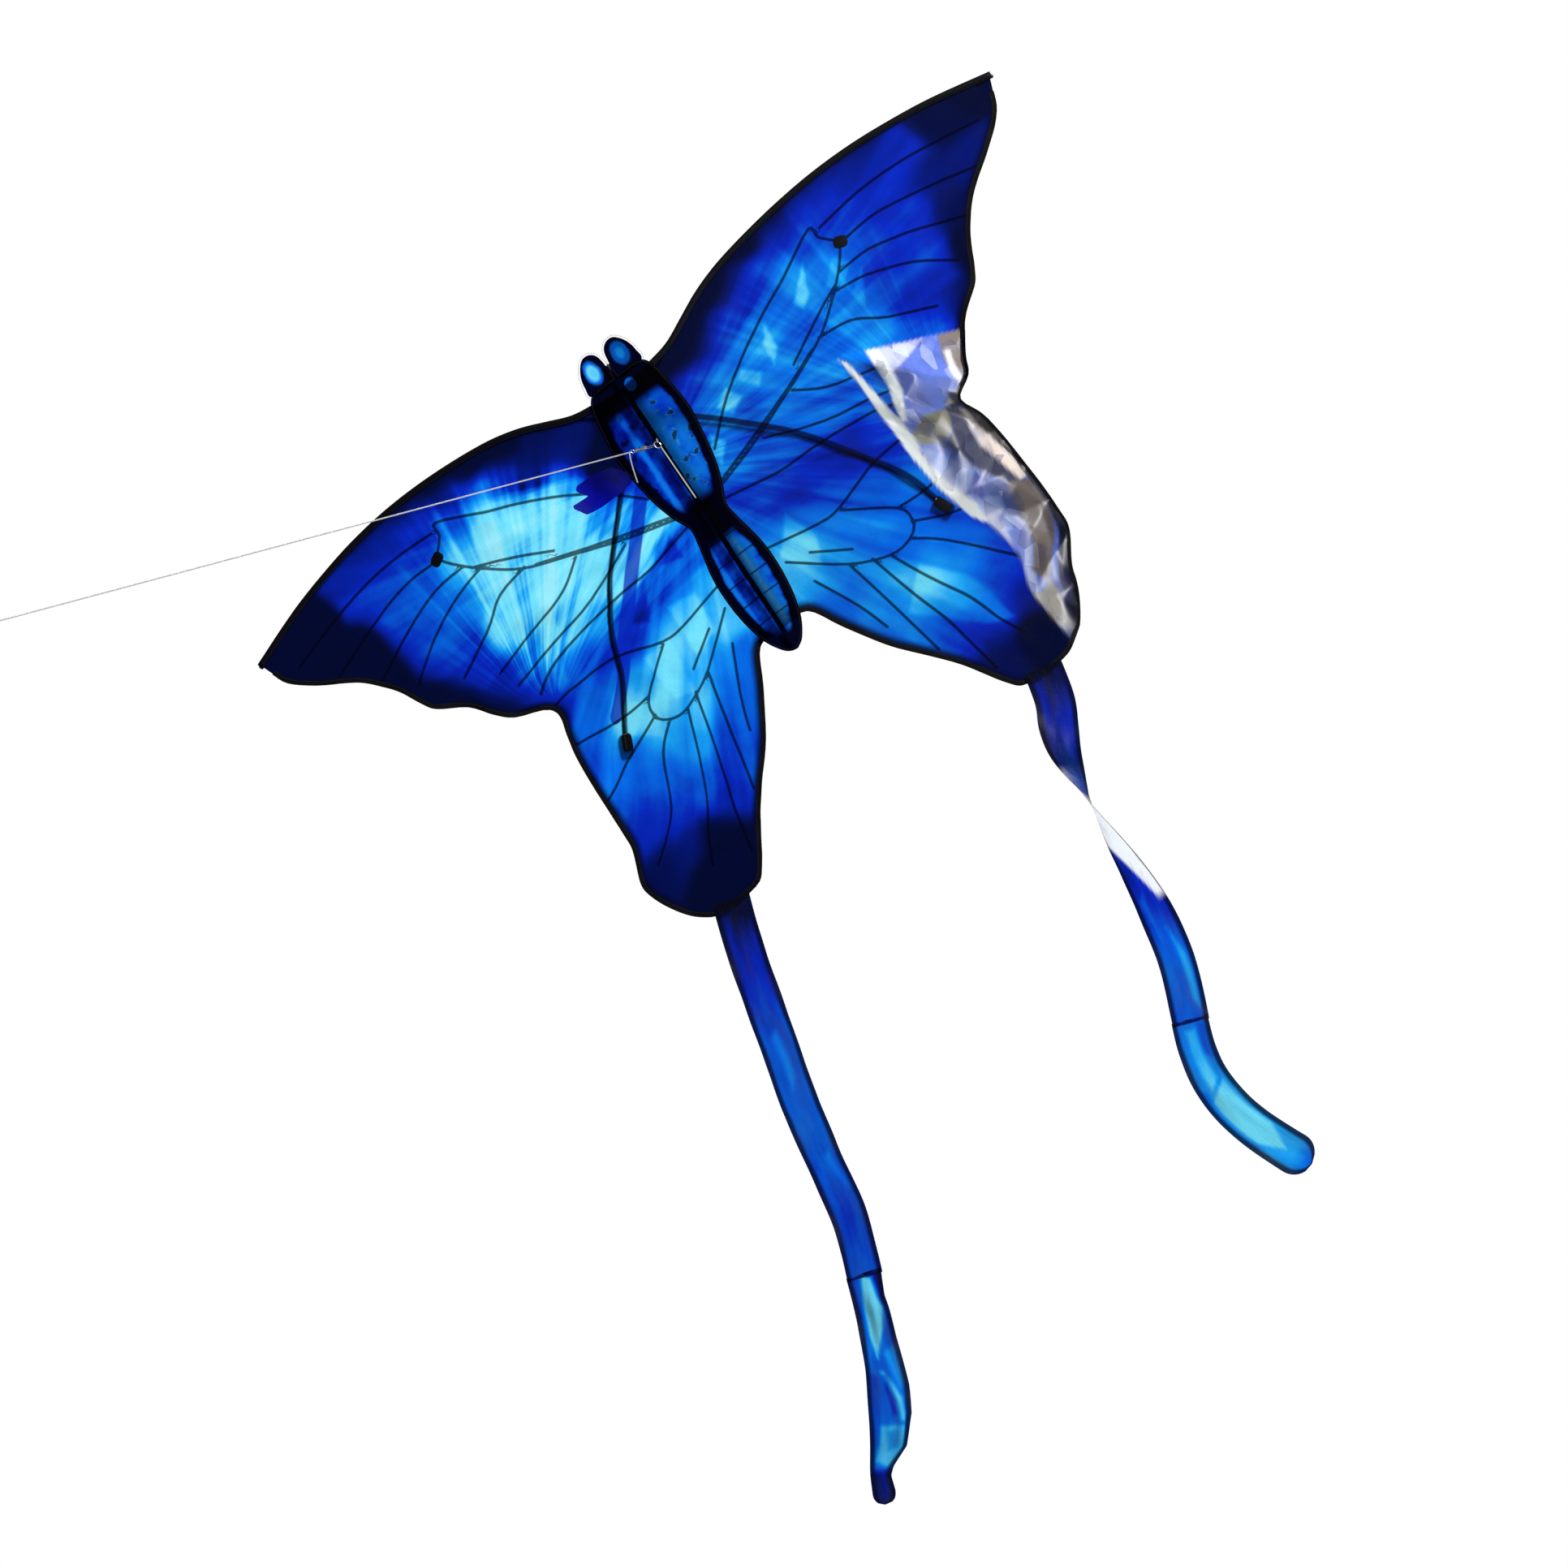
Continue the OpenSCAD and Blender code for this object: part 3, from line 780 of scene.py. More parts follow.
def ripstop(across, up):
    """Height of ripstop weave, with a heavier thread each 5 mm, and the grid of those threads."""
    grid = [((way * HEAVY_THREADS).part() - 0.5).abs().rise(0.44, 0.5) for way in (across, up)]
    heavy = grid[0].most(grid[1])
    fine = (across * FINE_WEAVE).sine() * (up * FINE_WEAVE).sine()
    return heavy * 0.8 + fine * 0.2, heavy


# The notch of the rear edge and the middle of the wings' root, which pull the cloth in pleats; the
# shade of these pleats is painted into the tone.
NOTCH = (0.345, -0.2)
ROOT = (-0.02, -0.03)


def wing_print_and_painted_light():
    f = Finish("wing_print_and_painted_light")
    across, up, plan = f.plan()
    edge = f.value("edge")
    vein, rod = f.away("vein"), f.away("rod")
    cloudy, streaky = f.noise(plan, 9.0, 3.0), f.noise(plan, 26.0, 4.0, 0.6)
    from_notch = (NOTCH[0] - across, up - NOTCH[1])
    notch, thin = f.fan(*from_notch, 9.0, 1.2), f.fan(*from_notch, 24.0, 0.8)
    root = f.fan(across - ROOT[0], up - ROOT[1], 12.0, 2.5)
    height, heavy = ripstop(across, up)
    wrinkle = f.noise(plan, 14.0, 5.0, 0.55)
    dye = Dye(f, NAVY, f.bump(height * 0.15 + wrinkle * 5, 0.35, 0.002))
    # Painted shade of the pleats that fan from the notch and the root, stronger on the left wing;
    # it is added to the tone.
    pull = (f.value("shaded") * 0.6 + 0.4) * across.rise(0.46, 0.3)
    pleat_shading = ((notch - 0.5) * 5.5 + (thin - 0.5) * 2.5) * up.rise(-0.22, -0.12) * pull
    pleat_shading = pleat_shading + (root - 0.5) * 2.6
    tone = f.value("tone")
    tone = tone + ((cloudy - 0.5) * 0.5 + (streaky - 0.5) * 0.8 + pleat_shading) * tone.rise(0.2, 1.6)
    dye.lay_tones(tone)
    dye.lay(tone.rise(4.2, 5.6) * 0.6, PALE)
    # Painted shadow of the rod: a dark band on the left wing only.
    dye.lay(f.away("band").rise(17, 11) * f.value("shaded") * 0.88, ROYAL)
    dye.lay(edge.rise(17, 6) * 0.92, NAVY)
    # Painted shadow of the rod behind the cloth: a dark line along its run.
    dye.lay(rod.rise(6.5, 2.5) * 0.9, NAVY)
    dye.lay(vein.rise(2.9, 1.2) * 0.85, INK)
    dye.lay(heavy * 0.1, NAVY)
    taut = f.value("taut")
    bent = f.stretched(plan, (62.0, 34.0, 1.0))
    facet = f.flow("ShaderNodeTexVoronoi", {}, {"Vector": bent, "Scale": 1.0}, 1)
    crease_shading = f.noise(plan, 30.0, 5.0, 0.62) * 0.35 + facet * 0.65
    turned = f.value("turned")
    # Painted reflection and shade of the crumpled strip, laid over its print.
    dye.lay(turned * 0.97, f.flow("ShaderNodeAttribute", {"attribute_name": "strip"}))
    # Painted shade in the strip's creases, then painted highlights on its facets.
    dye.lay(taut * crease_shading.rise(0.55, 0.72) * 0.5, (0.04, 0.05, 0.2))
    lit = (f.value("strip") * 1.6).least(1.0)
    dye.lay(taut * crease_shading.rise(0.42, 0.28) * lit * 0.6, (0.7, 0.76, 0.95))
    return f.surface(dye.colour, 0.5, dye.normal, shine=0.03, coat=taut * 0.45, dye=dye)


def tail_print_and_painted_light():
    f = Finish("tail_print_and_painted_light")
    across, up, plan = f.plan()
    edge = f.value("edge")
    cloudy = f.noise(plan, 7.0, 3.0)
    height, heavy = ripstop(across, up)
    wrinkle = f.noise(plan, 30.0, 4.0, 0.55)
    dye = Dye(f, NAVY, f.bump(height * 0.15 + wrinkle * 4, 0.35, 0.002))
    pleat_shade = f.noise(f.stretched(plan, (60.0, 12.0, 1.0)), 1.0, 3.0)
    # Painted shade of the pleats, added to the tail's tone.
    tone = f.value("tone") + (pleat_shade - 0.5) * 1.3 + (cloudy - 0.5) * 0.6
    dye.lay_tones(tone)
    dye.lay((edge + (cloudy - 0.5) * 5).rise(10.0, 4.5) * 0.92, NAVY)
    dye.lay(heavy * 0.1, NAVY)
    # Painted highlight where the right tail turns: a pale patch, with painted shade of its pleats
    # in it.
    painted_glare = f.value("painted_glare")
    dye.lay(painted_glare * 0.95, (0.78, 0.82, 0.87))
    dye.lay(painted_glare * pleat_shade.rise(0.55, 0.66) * 0.5, (0.3, 0.27, 0.27))
    dye.lay(painted_glare * edge.rise(2.6, 1.2) * 0.85, NAVY)
    dye.lay(f.value("seam") * 0.85, NAVY)
    return f.surface(dye.colour, 0.5, dye.normal, shine=0.1, coat=f.value("taut") * 0.15, dye=dye)


def body_print():
    f = Finish("body_print")
    across, up, plan = f.plan()
    edge = f.value("edge")
    cloudy = f.noise(plan, 38.0, 3.0)
    height = ripstop(across, up)[0]
    dye = Dye(f, INK, f.bump(height * 0.2 + cloudy * 2, 0.3, 0.001))
    thorax = up.rise(-0.108, -0.075) * up.rise(0.074, 0.05)
    belly = up.rise(-0.16, -0.185) * up.rise(-0.335, -0.31)
    shown = thorax.most(belly) * (edge + (cloudy - 0.5) * 6).rise(12, 18)
    half = across.rise(-0.004, 0.004)
    glow = cloudy - 0.32 + half * 0.3 + (across - 0.012).abs().rise(0.014, 0.0) * 0.22
    glow = glow + (across + 0.026).abs().rise(0.008, 0.0) * 0.45
    dye.lay(shown * (half * 0.4 + 0.6), ROYAL)
    dye.lay(shown * glow.rise(0.05, 0.4), (0.003, 0.1, 0.9))
    dye.lay(shown * glow.rise(0.25, 0.55), (0.01, 0.2, 1.0))
    dye.lay(shown * glow.rise(0.4, 0.62) * 0.7, (0.02, 0.36, 1.0))
    flecks = f.noise(plan, 60.0, 2.0).rise(0.56, 0.64) * thorax * half
    streak = (across - 0.011).abs().rise(0.006, 0.001) * belly * cloudy.rise(0.3, 0.5)
    dye.lay(shown * flecks.most(streak) * 0.75, (0.16, 0.58, 1.0))
    spot = (((across - 0.012) / 0.009) ** 2 + ((up - 0.094) / 0.011) ** 2).rise(1.1, 0.6)
    dye.lay(spot * 0.8, BLUE)
    rungs = ((up * 30).part() - 0.5).abs().rise(0.43, 0.49) * up.rise(-0.15, -0.17)
    spine = (across - (cloudy - 0.5) * 0.003).abs().rise(0.005, 0.0028)
    ticks = f.noise(plan, 60.0, 1.0).rise(0.6, 0.68) * thorax
    dye.lay(spine.most(rungs * 0.8).most(ticks * 0.85), INK)
    return f.surface(dye.colour, 0.45, dye.normal, shine=0.02, dye=dye)


def lobe_print():
    f = Finish("lobe_print")
    across, up, plan = f.plan()
    cloudy = f.noise(plan, 45.0, 3.0)
    height = ripstop(across, up)[0]
    dye = Dye(f, INK, f.bump(height * 0.2 + cloudy * 2, 0.3, 0.001))
    oval = (((across.abs() - 0.023) / 0.0115) ** 2 + ((up - 0.141) / 0.019) ** 2) ** 0.5
    patch = oval + (cloudy - 0.5) * 0.5
    dye.lay(patch.rise(1.15, 0.85) * (across.rise(0.0, -0.01) * 0.5 + 0.5), BLUE)
    dye.lay(patch.rise(0.9, 0.4) * across.rise(0.0, -0.01), CYAN)
    dye.lay(patch.rise(0.7, 0.2) * 0.4, SKY)
    return f.surface(dye.colour, 0.45, dye.normal, shine=0.02, dye=dye)


def satin_ribbon():
    f = Finish("satin_ribbon")
    _, up, plan = f.plan()
    ribs = (up * 5200).sine()
    soft = f.noise(plan, 40.0, 3.0)
    dye = Dye(f, (0.004, 0.004, 0.45), f.bump(ribs * 0.2 + soft * 3, 0.3, 0.001))
    dye.lay(soft.rise(0.3, 0.7), (0.003, 0.01, 0.75))
    return f.surface(dye.colour, 0.4, dye.normal, shine=0.2, dye=dye, share=0.6)


def tape(name, colour):
    f = Finish(name)
    where = f.place()
    weave, wear = f.noise(where, 2200.0), f.noise(where, 60.0, 3.0)
    tone = f.mix(wear.rise(0.45, 0.85) * 0.35, colour, tuple(c * 3 + 0.003 for c in colour))
    return f.surface(tone, 0.65, f.bump(weave, 0.35, 0.0004), shine=0.05)


def thread(name, colour):
    f = Finish(name)
    twist = f.noise(f.place(), 3000.0, 1.0)
    tone = f.mix(twist * 0.4, colour, tuple(c * 0.6 for c in colour))
    return f.surface(tone, 0.7, f.bump(twist, 0.5, 0.0003), shine=0.2)


def braid(name, colour):
    f = Finish(name)
    where = f.node("ShaderNodeSeparateXYZ", {}, {0: f.place()})
    x, y, z = (Flow(f, where.outputs[k]) for k in range(3))
    plait = ((x + y) * 2600).sine() * ((x - y + z * 2) * 2600).sine()
    tone = f.mix(plait.rise(-0.6, 0.6) * 0.3, colour, tuple(c * 0.62 for c in colour))
    # A faint glow of painted light, so the white braid reads brighter.
    return f.surface(tone, 0.55, f.bump(plait, 0.4, 0.0003), gleam=0.2)


def moulded(name, colour, rough):
    f = Finish(name)
    where = f.place()
    grain, scuff = f.noise(where, 900.0, 3.0), f.noise(where, 120.0, 4.0)
    tone = f.mix(scuff.rise(0.5, 0.8) * 0.3, colour, tuple(min(1, c * 2 + 0.02) for c in colour))
    return f.surface(tone, scuff * 0.2 + rough, f.bump(grain, 0.15, 0.0003))


def plated(name):
    f = Finish(name)
    smear = f.noise(f.place(), 400.0, 4.0)
    tone = f.mix(smear, (0.62, 0.61, 0.6), (0.8, 0.8, 0.8))
    return f.surface(tone, smear * 0.15 + 0.14, f.bump(smear, 0.08, 0.0002), metal=1.0)


WING = wing_print_and_painted_light()
TAIL = tail_print_and_painted_light()
BODY = body_print()
LOBES = lobe_print()
RIBBON = satin_ribbon()
BINDING = tape("black_binding", (0.0008, 0.001, 0.009))
THREAD = thread("navy_thread", (0.01, 0.014, 0.05))
LINE = braid("white_braid", (0.93, 0.93, 0.92))
FIBREGLASS = moulded("grey_fibreglass", (0.02, 0.02, 0.024), 0.3)
VINYL = moulded("black_vinyl", (0.008, 0.008, 0.01), 0.38)
PLATED = plated("nickel_plate")

# ---- the flying line, the tail of its knot and the bridle ----

LINE_WAY = Vector((-735, -802, 32)).normalized()
LINE_FROM = 0.044
LINE_LENGTH = 1.046
CORD_RADIUS = 0.001


def round_bar(name, points, radius, body, material, hides=(), sides=10):
    """A round rod or taut cord along its points, in metres."""
    bm = drawn(points, circle_profile(radius, sides))
    return finished(name, bm, body, material, hides)


LINE_RUN = [LINE_WAY * (LINE_FROM + LINE_LENGTH * k / 24) for k in range(25)]
flying_line = round_bar(
    "flying_line_braid", LINE_RUN, CORD_RADIUS, "line", LINE, ["flying_line"], 8,
)
LOOSE_END = [
    LINE_WAY * 0.047 + Vector((-0.0012 * k, 0.0005 * k, -0.00011 * k * k - 0.002 * k))
    for k in range(13)
]
round_bar("line_loose_end", LOOSE_END, 0.0009, "line", LINE, [], 8)
for place, top, lean in (("upper", 0.018, 1), ("lower", -0.094, -1)):
    start = Vector((0, 0.02295, top))
    end = Vector((0.0022, 0.0024, 0.0038 * lean))
    round_bar(
        f"bridle_{place}", [start.lerp(end, k / 8) for k in range(9)], CORD_RADIUS, "kite", LINE,
        [f"bridle_leg_{place}"],
    )

# ---- wings ----


def offset_run(run, gap):
    """The run moved sideways by gap, to its left as it goes."""
    way = np.gradient(run, axis=0)
    way /= np.linalg.norm(way, axis=1)[:, None]
    return run + gap * np.stack([-way[:, 1], way[:, 0]], 1)


def rod_path(side):
    """The run of the rod whose hind end is in this side's wing: over the other wing, then this."""
    rows = []
    sleeve = np.array(WING_FRONT, float)[:1:-1] - (0, 4)
    for x, z in even_run(curve(sleeve, 4), 14):
        rows.append(cloth_spot(-side, x, z, 4.0))
    for (x, z), depth in zip(ROD_CROSS, ROD_DEPTH):
        which = -side if x < 0 else side
        rows.append(cloth_spot(which, abs(x), z, depth))
    rows = [r for k, r in enumerate(rows) if k == 0 or np.linalg.norm(r - rows[k - 1]) > 0.004]
    return curve(rows, 5)


WING_STEP = 3.0
HEM_PROFILE = [
    (-0.0036, -0.0004), (0.0034, -0.0004), (0.0037, 0), (0.0034, 0.0004), (-0.0036, 0.0004),
]


def beside(side, run, gap, depth):
    """A run on the wing, moved in from its rear edge but not over the middle."""
    inner = offset_run(run, gap)
    return cloth_spot(side, np.maximum(inner[:, 0], 0.5), inner[:, 1], depth)


def make_wing(name, side):
    """One wing's cloth with its marks, sleeve, hem, stitches and rod."""
    bm = cut_cloth(WING_LOOP, WING_STEP)
    plan = np.array([v.co[:2] for v in bm.verts])
    if side < 0:
        bmesh.ops.reverse_faces(bm, faces=bm.faces)
    wing = finished(f"sail_{name}", bm, "kite", WING, [f"wing_{name}"])
    lay_plan(wing, plan)
    mark(wing, "edge", offset_to(plan, [round_trip(WING_LOOP)])[1])
    mark(wing, "tone", tone_at(name, plan))
    # 1 on the left wing, which takes the painted rod shadow and the stronger painted pleat shade.
    mark(wing, "shaded", np.full(len(plan), 1.0 if side < 0 else 0.0))
    strip = turned_strip(plan[:, 0], plan[:, 1]) if side > 0 else np.zeros(len(plan))
    turned = 1 - within(plan, UNTURNED)
    mark(wing, "taut", smooth(strip, 0, 7) * turned)
    mark_lines(wing, "vein", plan, [curve(v, 4) for v in VEINS])
    # The rod's run, along which its shadow is painted as a dark line.
    mark_lines(wing, "rod", plan, [ROD_RUN])
    # The white sliver along the fold takes the painted highlight too.
    fold = within(plan, STRIP_GLARE_PATCHES[-1][1], 1.5) if side > 0 else 0
    mark(wing, "turned", np.maximum(smooth(strip, 0, 5) * turned, fold))
    mark(wing, "strip", painted_strip_glare(plan))
    mark_lines(wing, "band", plan, [ROD_SHADOW_BAND])
    move_points(wing, cloth_spot(side, plan[:, 0], plan[:, 1]))
    # Sleeve along the front edge, oval round its rod.
    front = even_run(curve(WING_FRONT, 4), 6)
    path = cloth_spot(side, front[:, 0], front[:, 1] - 4, 1.5)
    sleeve = finished(
        f"sleeve_{name}", drawn(path, circle_profile(0.0052, 12, 0.55)), "kite", BINDING,
        [f"leading_sleeve_{name}"],
    )
    # Folded hem round the rear edge.
    rear = even_run(curve(WING_REAR, 4), 4)
    hem = finished(
        f"hem_{name}", drawn(beside(side, rear, -2.6, 0), HEM_PROFILE), "kite", BINDING,
        [f"rear_hem_{name}"], smooth_faces=False,
    )
    # A row of stitches on both faces of each.
    bm = bmesh.new()
    for face in (-1, 1):
        stitch_row(bm, beside(side, rear, -4.4, face * 0.5))
        stitch_row(bm, cloth_spot(side, front[:, 0], front[:, 1] - 8.4, face * 0.4))
    stitches = finished(f"stitches_{name}", bm, "kite", THREAD)
    round_bar(
        f"rod_{name}", rod_path(side), 0.002, "kite", FIBREGLASS,
        [f"wing_rod_{name}"],
    )


def bevel(bm, edges, offset, segments):
    bmesh.ops.bevel(
        bm, geom=edges, offset=offset, segments=segments, profile=0.5, affect="EDGES", material=-1,
    )


def rise_of(edge):
    return abs(edge.verts[0].co.z - edge.verts[1].co.z)


def tip_cap(name, side):
    """The soft cap over the rod's end at the wing tip."""
    inner, outer = cloth_spot(side, np.array([618, 645.0]), np.array([150, 142.0]), 4.0)
    way = Vector(outer - inner).normalized()
    bm = bmesh.new()
    bmesh.ops.create_cone(
        bm, cap_ends=True, segments=20, radius1=0.0038, radius2=0.0035, depth=0.022,
    )
    bevel(bm, [e for e in bm.edges if rise_of(e) < 1e-4], 0.0016, 4)
    turn = way.to_track_quat("Z", "Y").to_matrix().to_4x4()
    place = Matrix.Translation(Vector(outer) - way * 0.006) @ turn
    bmesh.ops.transform(bm, matrix=place, verts=bm.verts)
    finished(f"tip_cover_{name}", bm, "kite", VINYL, [f"tip_cap_{name}"])


def plate(name, centre, turn, size, round_by, side, depth, hides):
    """A soft stitched patch on the wing: size is across, along and thick in millimetres."""
    bm = bmesh.new()
    bmesh.ops.create_cube(bm, size=1)
    bmesh.ops.scale(bm, vec=size, verts=bm.verts)
    bevel(bm, [e for e in bm.edges if rise_of(e) > size[2] / 2], round_by, 4)
    bevel(bm, [e for e in bm.edges if rise_of(e) < size[2] / 4], size[2] * 0.3, 3)
    spin = Matrix.Rotation(math.radians(turn), 3, "Z")
    bmesh.ops.rotate(bm, matrix=spin, verts=bm.verts)
    for v in bm.verts:
        spot = cloth_spot(side, centre[0] + v.co.x, centre[1] + v.co.y, depth - v.co.z)
        v.co = spot.tolist()
    bmesh.ops.recalc_face_normals(bm, faces=bm.faces)
    finished(name, bm, "kite", BINDING, hides)


for name, side in SIDES.items():
    make_wing(name, side)
    tip_cap(name, side)
    for piece, centre, turn, size, round_by, depth, hides in (
        ("pocket", POCKET, 22, (18, 30, 8.4), 4, 5, [f"hind_pocket_{name}"]),
        ("pocket_face", (268, -309), 22, (15, 24, 0.8), 5, -0.6, []),
        ("patch", (353, 86), -25, (20, 17, 1.2), 6, 0, [f"fore_patch_{name}"]),
    ):
        plate(f"{piece}_{name}", centre, turn, size, round_by, side, depth, hides)

# ---- body and head ----


def panel(name, loop, hides, material, dome, plane):
    """A domed panel of the body or head with its row of stitches; dome and plane in millimetres."""
    bm = cut_cloth(loop, 2.0)
    plan = np.array([v.co[:2] for v in bm.verts])
    piece = finished(name, bm, "kite", material, hides)
    lay_plan(piece, plan)
    edge = offset_to(plan, [round_trip(loop)])[1]
    mark(piece, "edge", edge)
    folds = np.array([noise.noise(Vector((a / 26, b / 40, 5))) for a, b in plan])
    rise = plane + dome * np.sqrt(np.clip(edge / 30, 0, 1)) + folds * 0.8 * np.clip(edge / 10, 0, 1)
    move_points(piece, upright(plan[:, 0], (STAND_OFF - rise) / 1000, plan[:, 1]))
    bm = bmesh.new()
    inner = offset_run(even_run(round_trip(loop), 4), 2.5 if loop[1][0] < loop[0][0] else -2.5)
    stitch_row(bm, upright(inner[:, 0], (STAND_OFF - plane - dome * 0.3) / 1000, inner[:, 1]))
    stitches = finished(f"{name}_stitches", bm, "kite", THREAD)


panel("body_cloth", BODY_LOOP, ["body_panel"], BODY, 3.0, 1.6)
lobe_loop = curve(LOBE, 5, closed=True)
panel("lobe_right", lobe_loop, ["head_lobe_right"], LOBES, 2.0, 1.0)
panel("lobe_left", lobe_loop * (-1, 1), ["head_lobe_left"], LOBES, 2.0, 1.0)

# ---- tails ----

TAIL_Y = 0.0485
# Tones down each tail and each tail end, and the flats of painted light on them, with painted shade
# where the amount is below zero.
TAIL_TONES = {
    "left": [(0, 0.1), (0.08, 0.5), (0.3, 1.4), (0.6, 1.9), (0.85, 1.3), (1, 1.5)],
    "right": [(0, 0.3), (0.15, 0.8), (0.3, 1.7), (0.45, 0.5), (0.65, 0.9), (0.85, 1.9), (1, 1.6)],
    "left end": [(0, 1.3), (0.3, 1.7), (0.7, 2.1), (0.84, 2.2), (0.87, 0.6), (1, 0.5)],
    "right end": [(0, 2.1), (0.3, 2.6), (0.6, 3.1), (0.9, 3), (1, 1.8)],
}
TAIL_FLATS = {
    "left": [
        ([(-6, 200), (4, 190), (8, 260), (-2, 280)], 0.7),
        ([(2, 380), (12, 370), (14, 430)], 0.6),
    ],
    "right": [
        ([(4, 400), (14, 440), (18, 520), (8, 500)], 1.3),
        ([(-14, 350), (-4, 340), (-8, 420)], 0.6),
    ],
    "left end": [
        ([(-5, 2), (8, 9), (15, 51), (8, 79), (-7, 117), (-10, 84), (-8, 42)], 2.6),
        ([(12, 4), (24, 2), (23, 45), (18, 44)], -1.0),
        ([(-4, 140), (0, 140), (10, 190), (4, 196)], -1.1),
        ([(-2, 214), (10, 212), (12, 232), (2, 240)], -0.8),
        ([(-12, 60), (-8, 100), (-20, 120), (-22, 60)], 0.5),
        ([(-13, 205), (22, 205), (22, 238), (12, 262), (-10, 252)], 1.3),
        ([(-8, 133), (-3, 133), (18, 170), (21, 200), (14, 200), (9, 172)], 1.8),
        ([(2, 110), (24, 100), (26, 150), (16, 160)], 0.7),
        ([(-26, 130), (-12, 140), (-12, 230), (-26, 240)], -0.5),
    ],
    "right end": [
        ([(-10, 15), (4, 15), (10, 90), (-6, 100)], 0.9),
        ([(6, 4), (18, 10), (16, 60), (8, 50)], -0.9),
        ([(-22, 90), (-14, 100), (-18, 200), (-24, 190)], -0.8),
        ([(-14, 115), (14, 95), (17, 190), (0, 225), (-15, 190)], 1.2),
    ],
}


def read(table, along):
    """A value given at some shares of a length, read at each share."""
    return np.interp(along, [t[0] for t in table], [t[1] for t in table])


def ripple(off, run, across, down, seed):
    """Soft waves over a ribbon, each so many millimetres across and down."""
    return np.array([
        noise.noise(Vector((a / across, b / down, seed))) for a, b in np.column_stack([off, run])
    ])


def ribbon(name, part, way, widths, body, hides, twist, down, rounded):
    """A ribbon along its way; widths and twist go by each share of its length."""
    line = even_run(curve(way, 6), 3)
    count = len(line)
    gathered = len(widths) > 2
    bm = bmesh.new()
    bmesh.ops.create_grid(bm, x_segments=16, y_segments=count - 1, size=0.5)
    grid = np.array([v.co[:2] for v in bm.verts])
    piece = finished(name, bm, body, TAIL, hides)
    along = grid[:, 1] + 0.5
    steps = np.clip(np.rint(along * (count - 1)).astype(int), 0, count - 1)
    trend = np.gradient(line, axis=0)
    trend /= np.linalg.norm(trend, axis=1)[:, None]
    across = np.stack([-trend[:, 1], trend[:, 0]], 1)
    length = np.linalg.norm(np.diff(line, axis=0), axis=1).sum()
    run = along * length
    width = read(widths, along)
    # A gathered end keeps its outer edge straight and loses its width from the other side.
    shift = (width - widths[0][1]) * 0.5 * gathered
    if rounded:
        near_end = np.clip(1 - (1 - along) * length / (widths[-1][1] / 2), 0, 1)
        width = width * np.sqrt(np.clip(1 - near_end ** 2, 0.002, 1))
    off = grid[:, 0] * width
    turn = np.radians(read(twist, along))
    seen = off * np.cos(turn)
    spots = line[steps] + across[steps] * (seen + shift)[:, None]
    folds = ripple(off, run, 30, 60, down * 7) * 5
    gathers = ripple(off, run, 11, 70, 3) * (6 if gathered else 1.5)
    back = off * np.sin(turn) + (folds + gathers) * np.clip(along * 6, 0, 1)
    move_points(piece, upright(spots[:, 0], TAIL_Y + back / 1000, spots[:, 1]))
    lay_plan(piece, np.column_stack([off, down * 1000 + run]))
    mark(piece, "edge", width / 2 - np.abs(off))
    mark(piece, "taut", np.abs(np.sin(turn)) ** 2)
    tone = read(TAIL_TONES[part], along)
    for corners, more in TAIL_FLATS[part]:
        tone = tone + more * within(np.column_stack([seen, run]), corners, 4.0)
    mark(piece, "tone", tone)
    # Painted highlight on the right tail where it turns, marked for its finish to lay a pale patch.
    start = read([(0.36, -30), (0.42, -20), (0.67, 12)], along)
    lit = smooth(seen - start, -2, 2) * smooth(along, 0.34, 0.36) * smooth(along, 0.69, 0.66)
    mark(piece, "painted_glare", lit if part == "right" else 0 * along)
    mark(piece, "seam", smooth(run, 7, 3) if rounded else smooth(length - run, 4, 1))
    return piece, length, float(sum(face.area for face in piece.data.polygons))


TAIL_WIDTHS = [(0, 54), (1, 50)]
FLAT_ON = [(0, 0), (1, 0)]
TAIL_TWISTS = {
    "left": FLAT_ON,
    "right": [(0, 0), (0.12, 10), (0.34, 90), (0.5, 125), (0.68, 160), (0.84, 180), (1, 180)],
}
END_WIDTHS = {
    "left": [
        (0, 50), (0.12, 44), (0.3, 49), (0.5, 58), (0.62, 60), (0.76, 52), (0.84, 33), (0.88, 28),
        (0.94, 31), (1, 31),
    ],
    "right": [(0, 50), (1, 56)],
}
END_TWISTS = {"left": FLAT_ON, "right": [(0, 180), (1, 180)]}
for name in SIDES:
    tail, length, area = ribbon(
        f"ribbon_{name}", name, TAIL_WAYS[name], TAIL_WIDTHS, f"tail_{name}", [f"tail_{name}"],
        TAIL_TWISTS[name], 0.0, False,
    )
    end, length, area = ribbon(
        f"ribbon_end_{name}", f"{name} end", TAIL_END_WAYS[name], END_WIDTHS[name],
        f"tail_{name}_end", [f"tail_end_{name}"], END_TWISTS[name], 0.55, True,
    )

# ---- pennant ----

PENNANT = np.array([
    (-59, -6), (-73, 13), (-101, 22), (-127, 24), (-133, 18), (-122, 2), (-150, 2), (-137, -20),
    (-112, -24), (-83, -26), (-60, -22),
], float)
bm = cut_cloth(PENNANT, 2.0)
plan = np.array([v.co[:2] for v in bm.verts])
pennant = finished("pennant_ribbon", bm, "pennant", RIBBON, ["pennant"])
lay_plan(pennant, plan)
wave = 3 * np.sin((plan[:, 0] + 60) / 13) * np.clip(-(plan[:, 0] + 60) / 40, 0, 1)
move_points(pennant, upright(plan[:, 0], (STAND_OFF - 4.5 + wave) / 1000, plan[:, 1]))

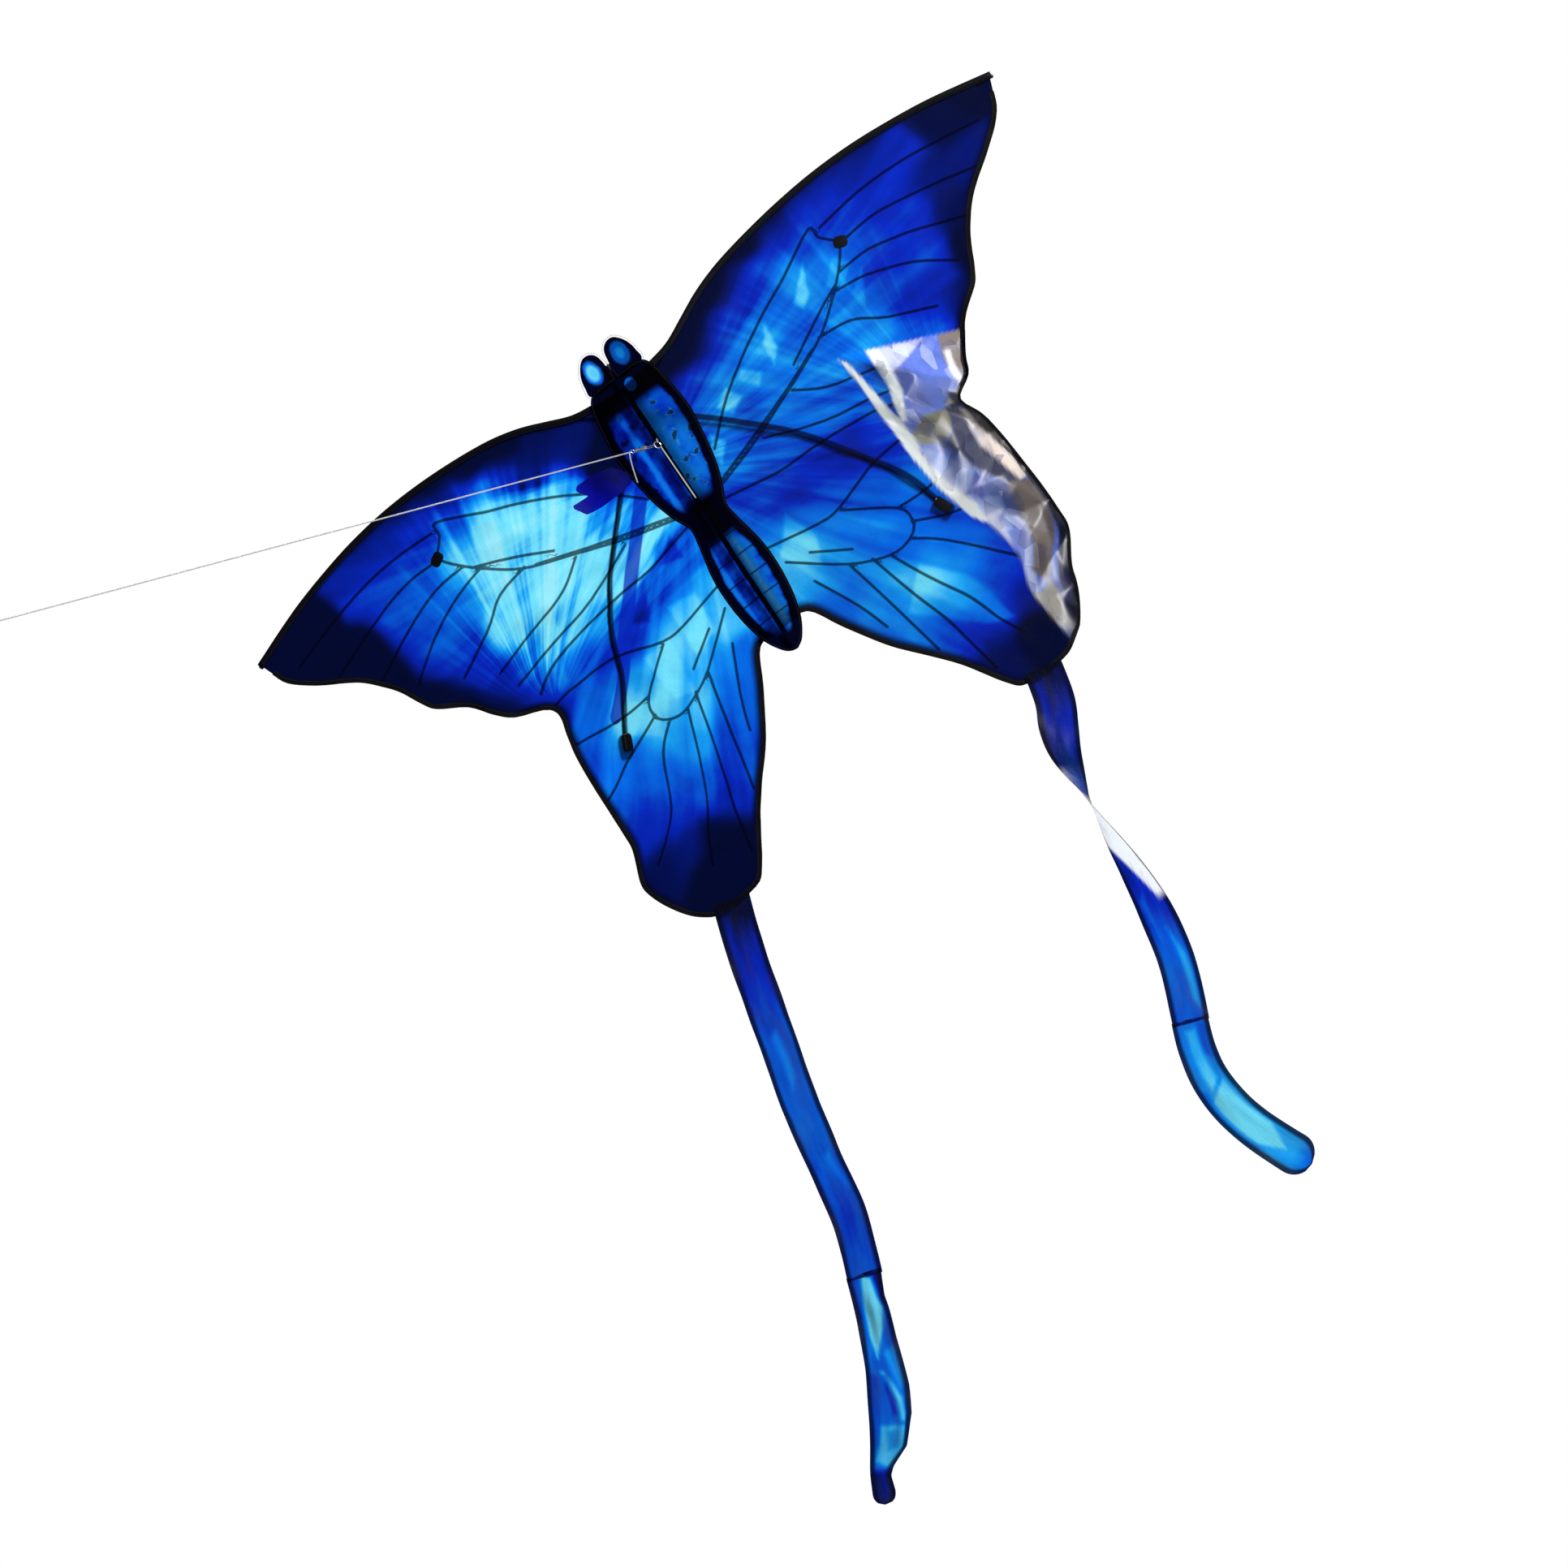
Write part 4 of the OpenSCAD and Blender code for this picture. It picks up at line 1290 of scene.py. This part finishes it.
# ---- finishes of the solid parts ----

SOLID = {
    "spine_rod": FIBREGLASS, "nose_cap": VINYL, "spine_end_cap": VINYL, "rod_crossing_tie": VINYL,
    "rod_cap_left": VINYL, "rod_cap_right": VINYL,
    "spine_clip_upper": BINDING, "spine_clip_lower": BINDING, "tow_ring": PLATED,
    "snap_hook": PLATED, "snap_collar": PLATED, "snap_gate": PLATED, "swivel_barrel": PLATED,
    "swivel_eye": PLATED, "line_knot": LINE, "line_loop": LINE,
}
for name, material in SOLID.items():
    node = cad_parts[name]
    node.data.materials.clear()
    node.data.materials.append(material)

# ---- floor, sky and lamps ----

FLOOR_HALF = 30
FLOOR_DROP = 5
# How much of the white sky's brightness falls on the kite.
SKY_SHARE = 0.16

bm = bmesh.new()
bmesh.ops.create_grid(bm, x_segments=1, y_segments=1, size=FLOOR_HALF)
bmesh.ops.translate(bm, vec=(0, 0, -FLOOR_DROP), verts=bm.verts)
floor = placed("floor", bm)
pale = Finish("pale_floor")
speck = pale.noise(pale.place(), 3.0, 3.0)
floor_tone = pale.mix(speck, (0.78, 0.78, 0.78), (0.84, 0.84, 0.84))
eye = pale.flow("ShaderNodeLightPath", {}, {})
glow = pale.mix(eye, (0, 0, 0), (0.7, 0.7, 0.7))
floor.data.materials.append(pale.surface(floor_tone, 0.8, gleam=1.0, shown=glow))

bpy.context.scene.view_settings.view_transform = "Standard"
world = bpy.data.worlds.new("sky")
bpy.context.scene.world = world
world.use_nodes = True
sky = world.node_tree.nodes["Background"]
sky.inputs[0].default_value = (1, 1, 1, 1)
seen = world.node_tree.nodes.new("ShaderNodeLightPath")
strength = world.node_tree.nodes.new("ShaderNodeMapRange")
strength.inputs["To Min"].default_value = SKY_SHARE
strength.inputs["To Max"].default_value = 1.0
world.node_tree.links.new(seen.outputs["Is Camera Ray"], strength.inputs["Value"])
world.node_tree.links.new(strength.outputs[0], sky.inputs[1])


def lamp(name, toward, distance, size, power, colour=(1, 1, 1), aim=(0, 0.05, -0.4)):
    data = bpy.data.lights.new(name, "AREA")
    data.size = size
    data.energy = power
    data.color = colour
    light = bpy.data.objects.new(name, data)
    bpy.context.scene.collection.objects.link(light)
    way = Vector(toward).normalized()
    light.matrix_world = Matrix.Translation(Vector(aim) + way * distance) @ (
        way.to_track_quat("Z", "Y").to_matrix().to_4x4()
    )
    return light


lamp("back_lamp", (0.6, 0.6, 0.45), 6, 1.6, 620)
glare = lamp("glare_lamp", (0.66, -0.66, 0.342), 8, 2.4, 2600, aim=(0.33, 0.09, -0.3))
glare.visible_diffuse = False
glare.visible_transmission = False
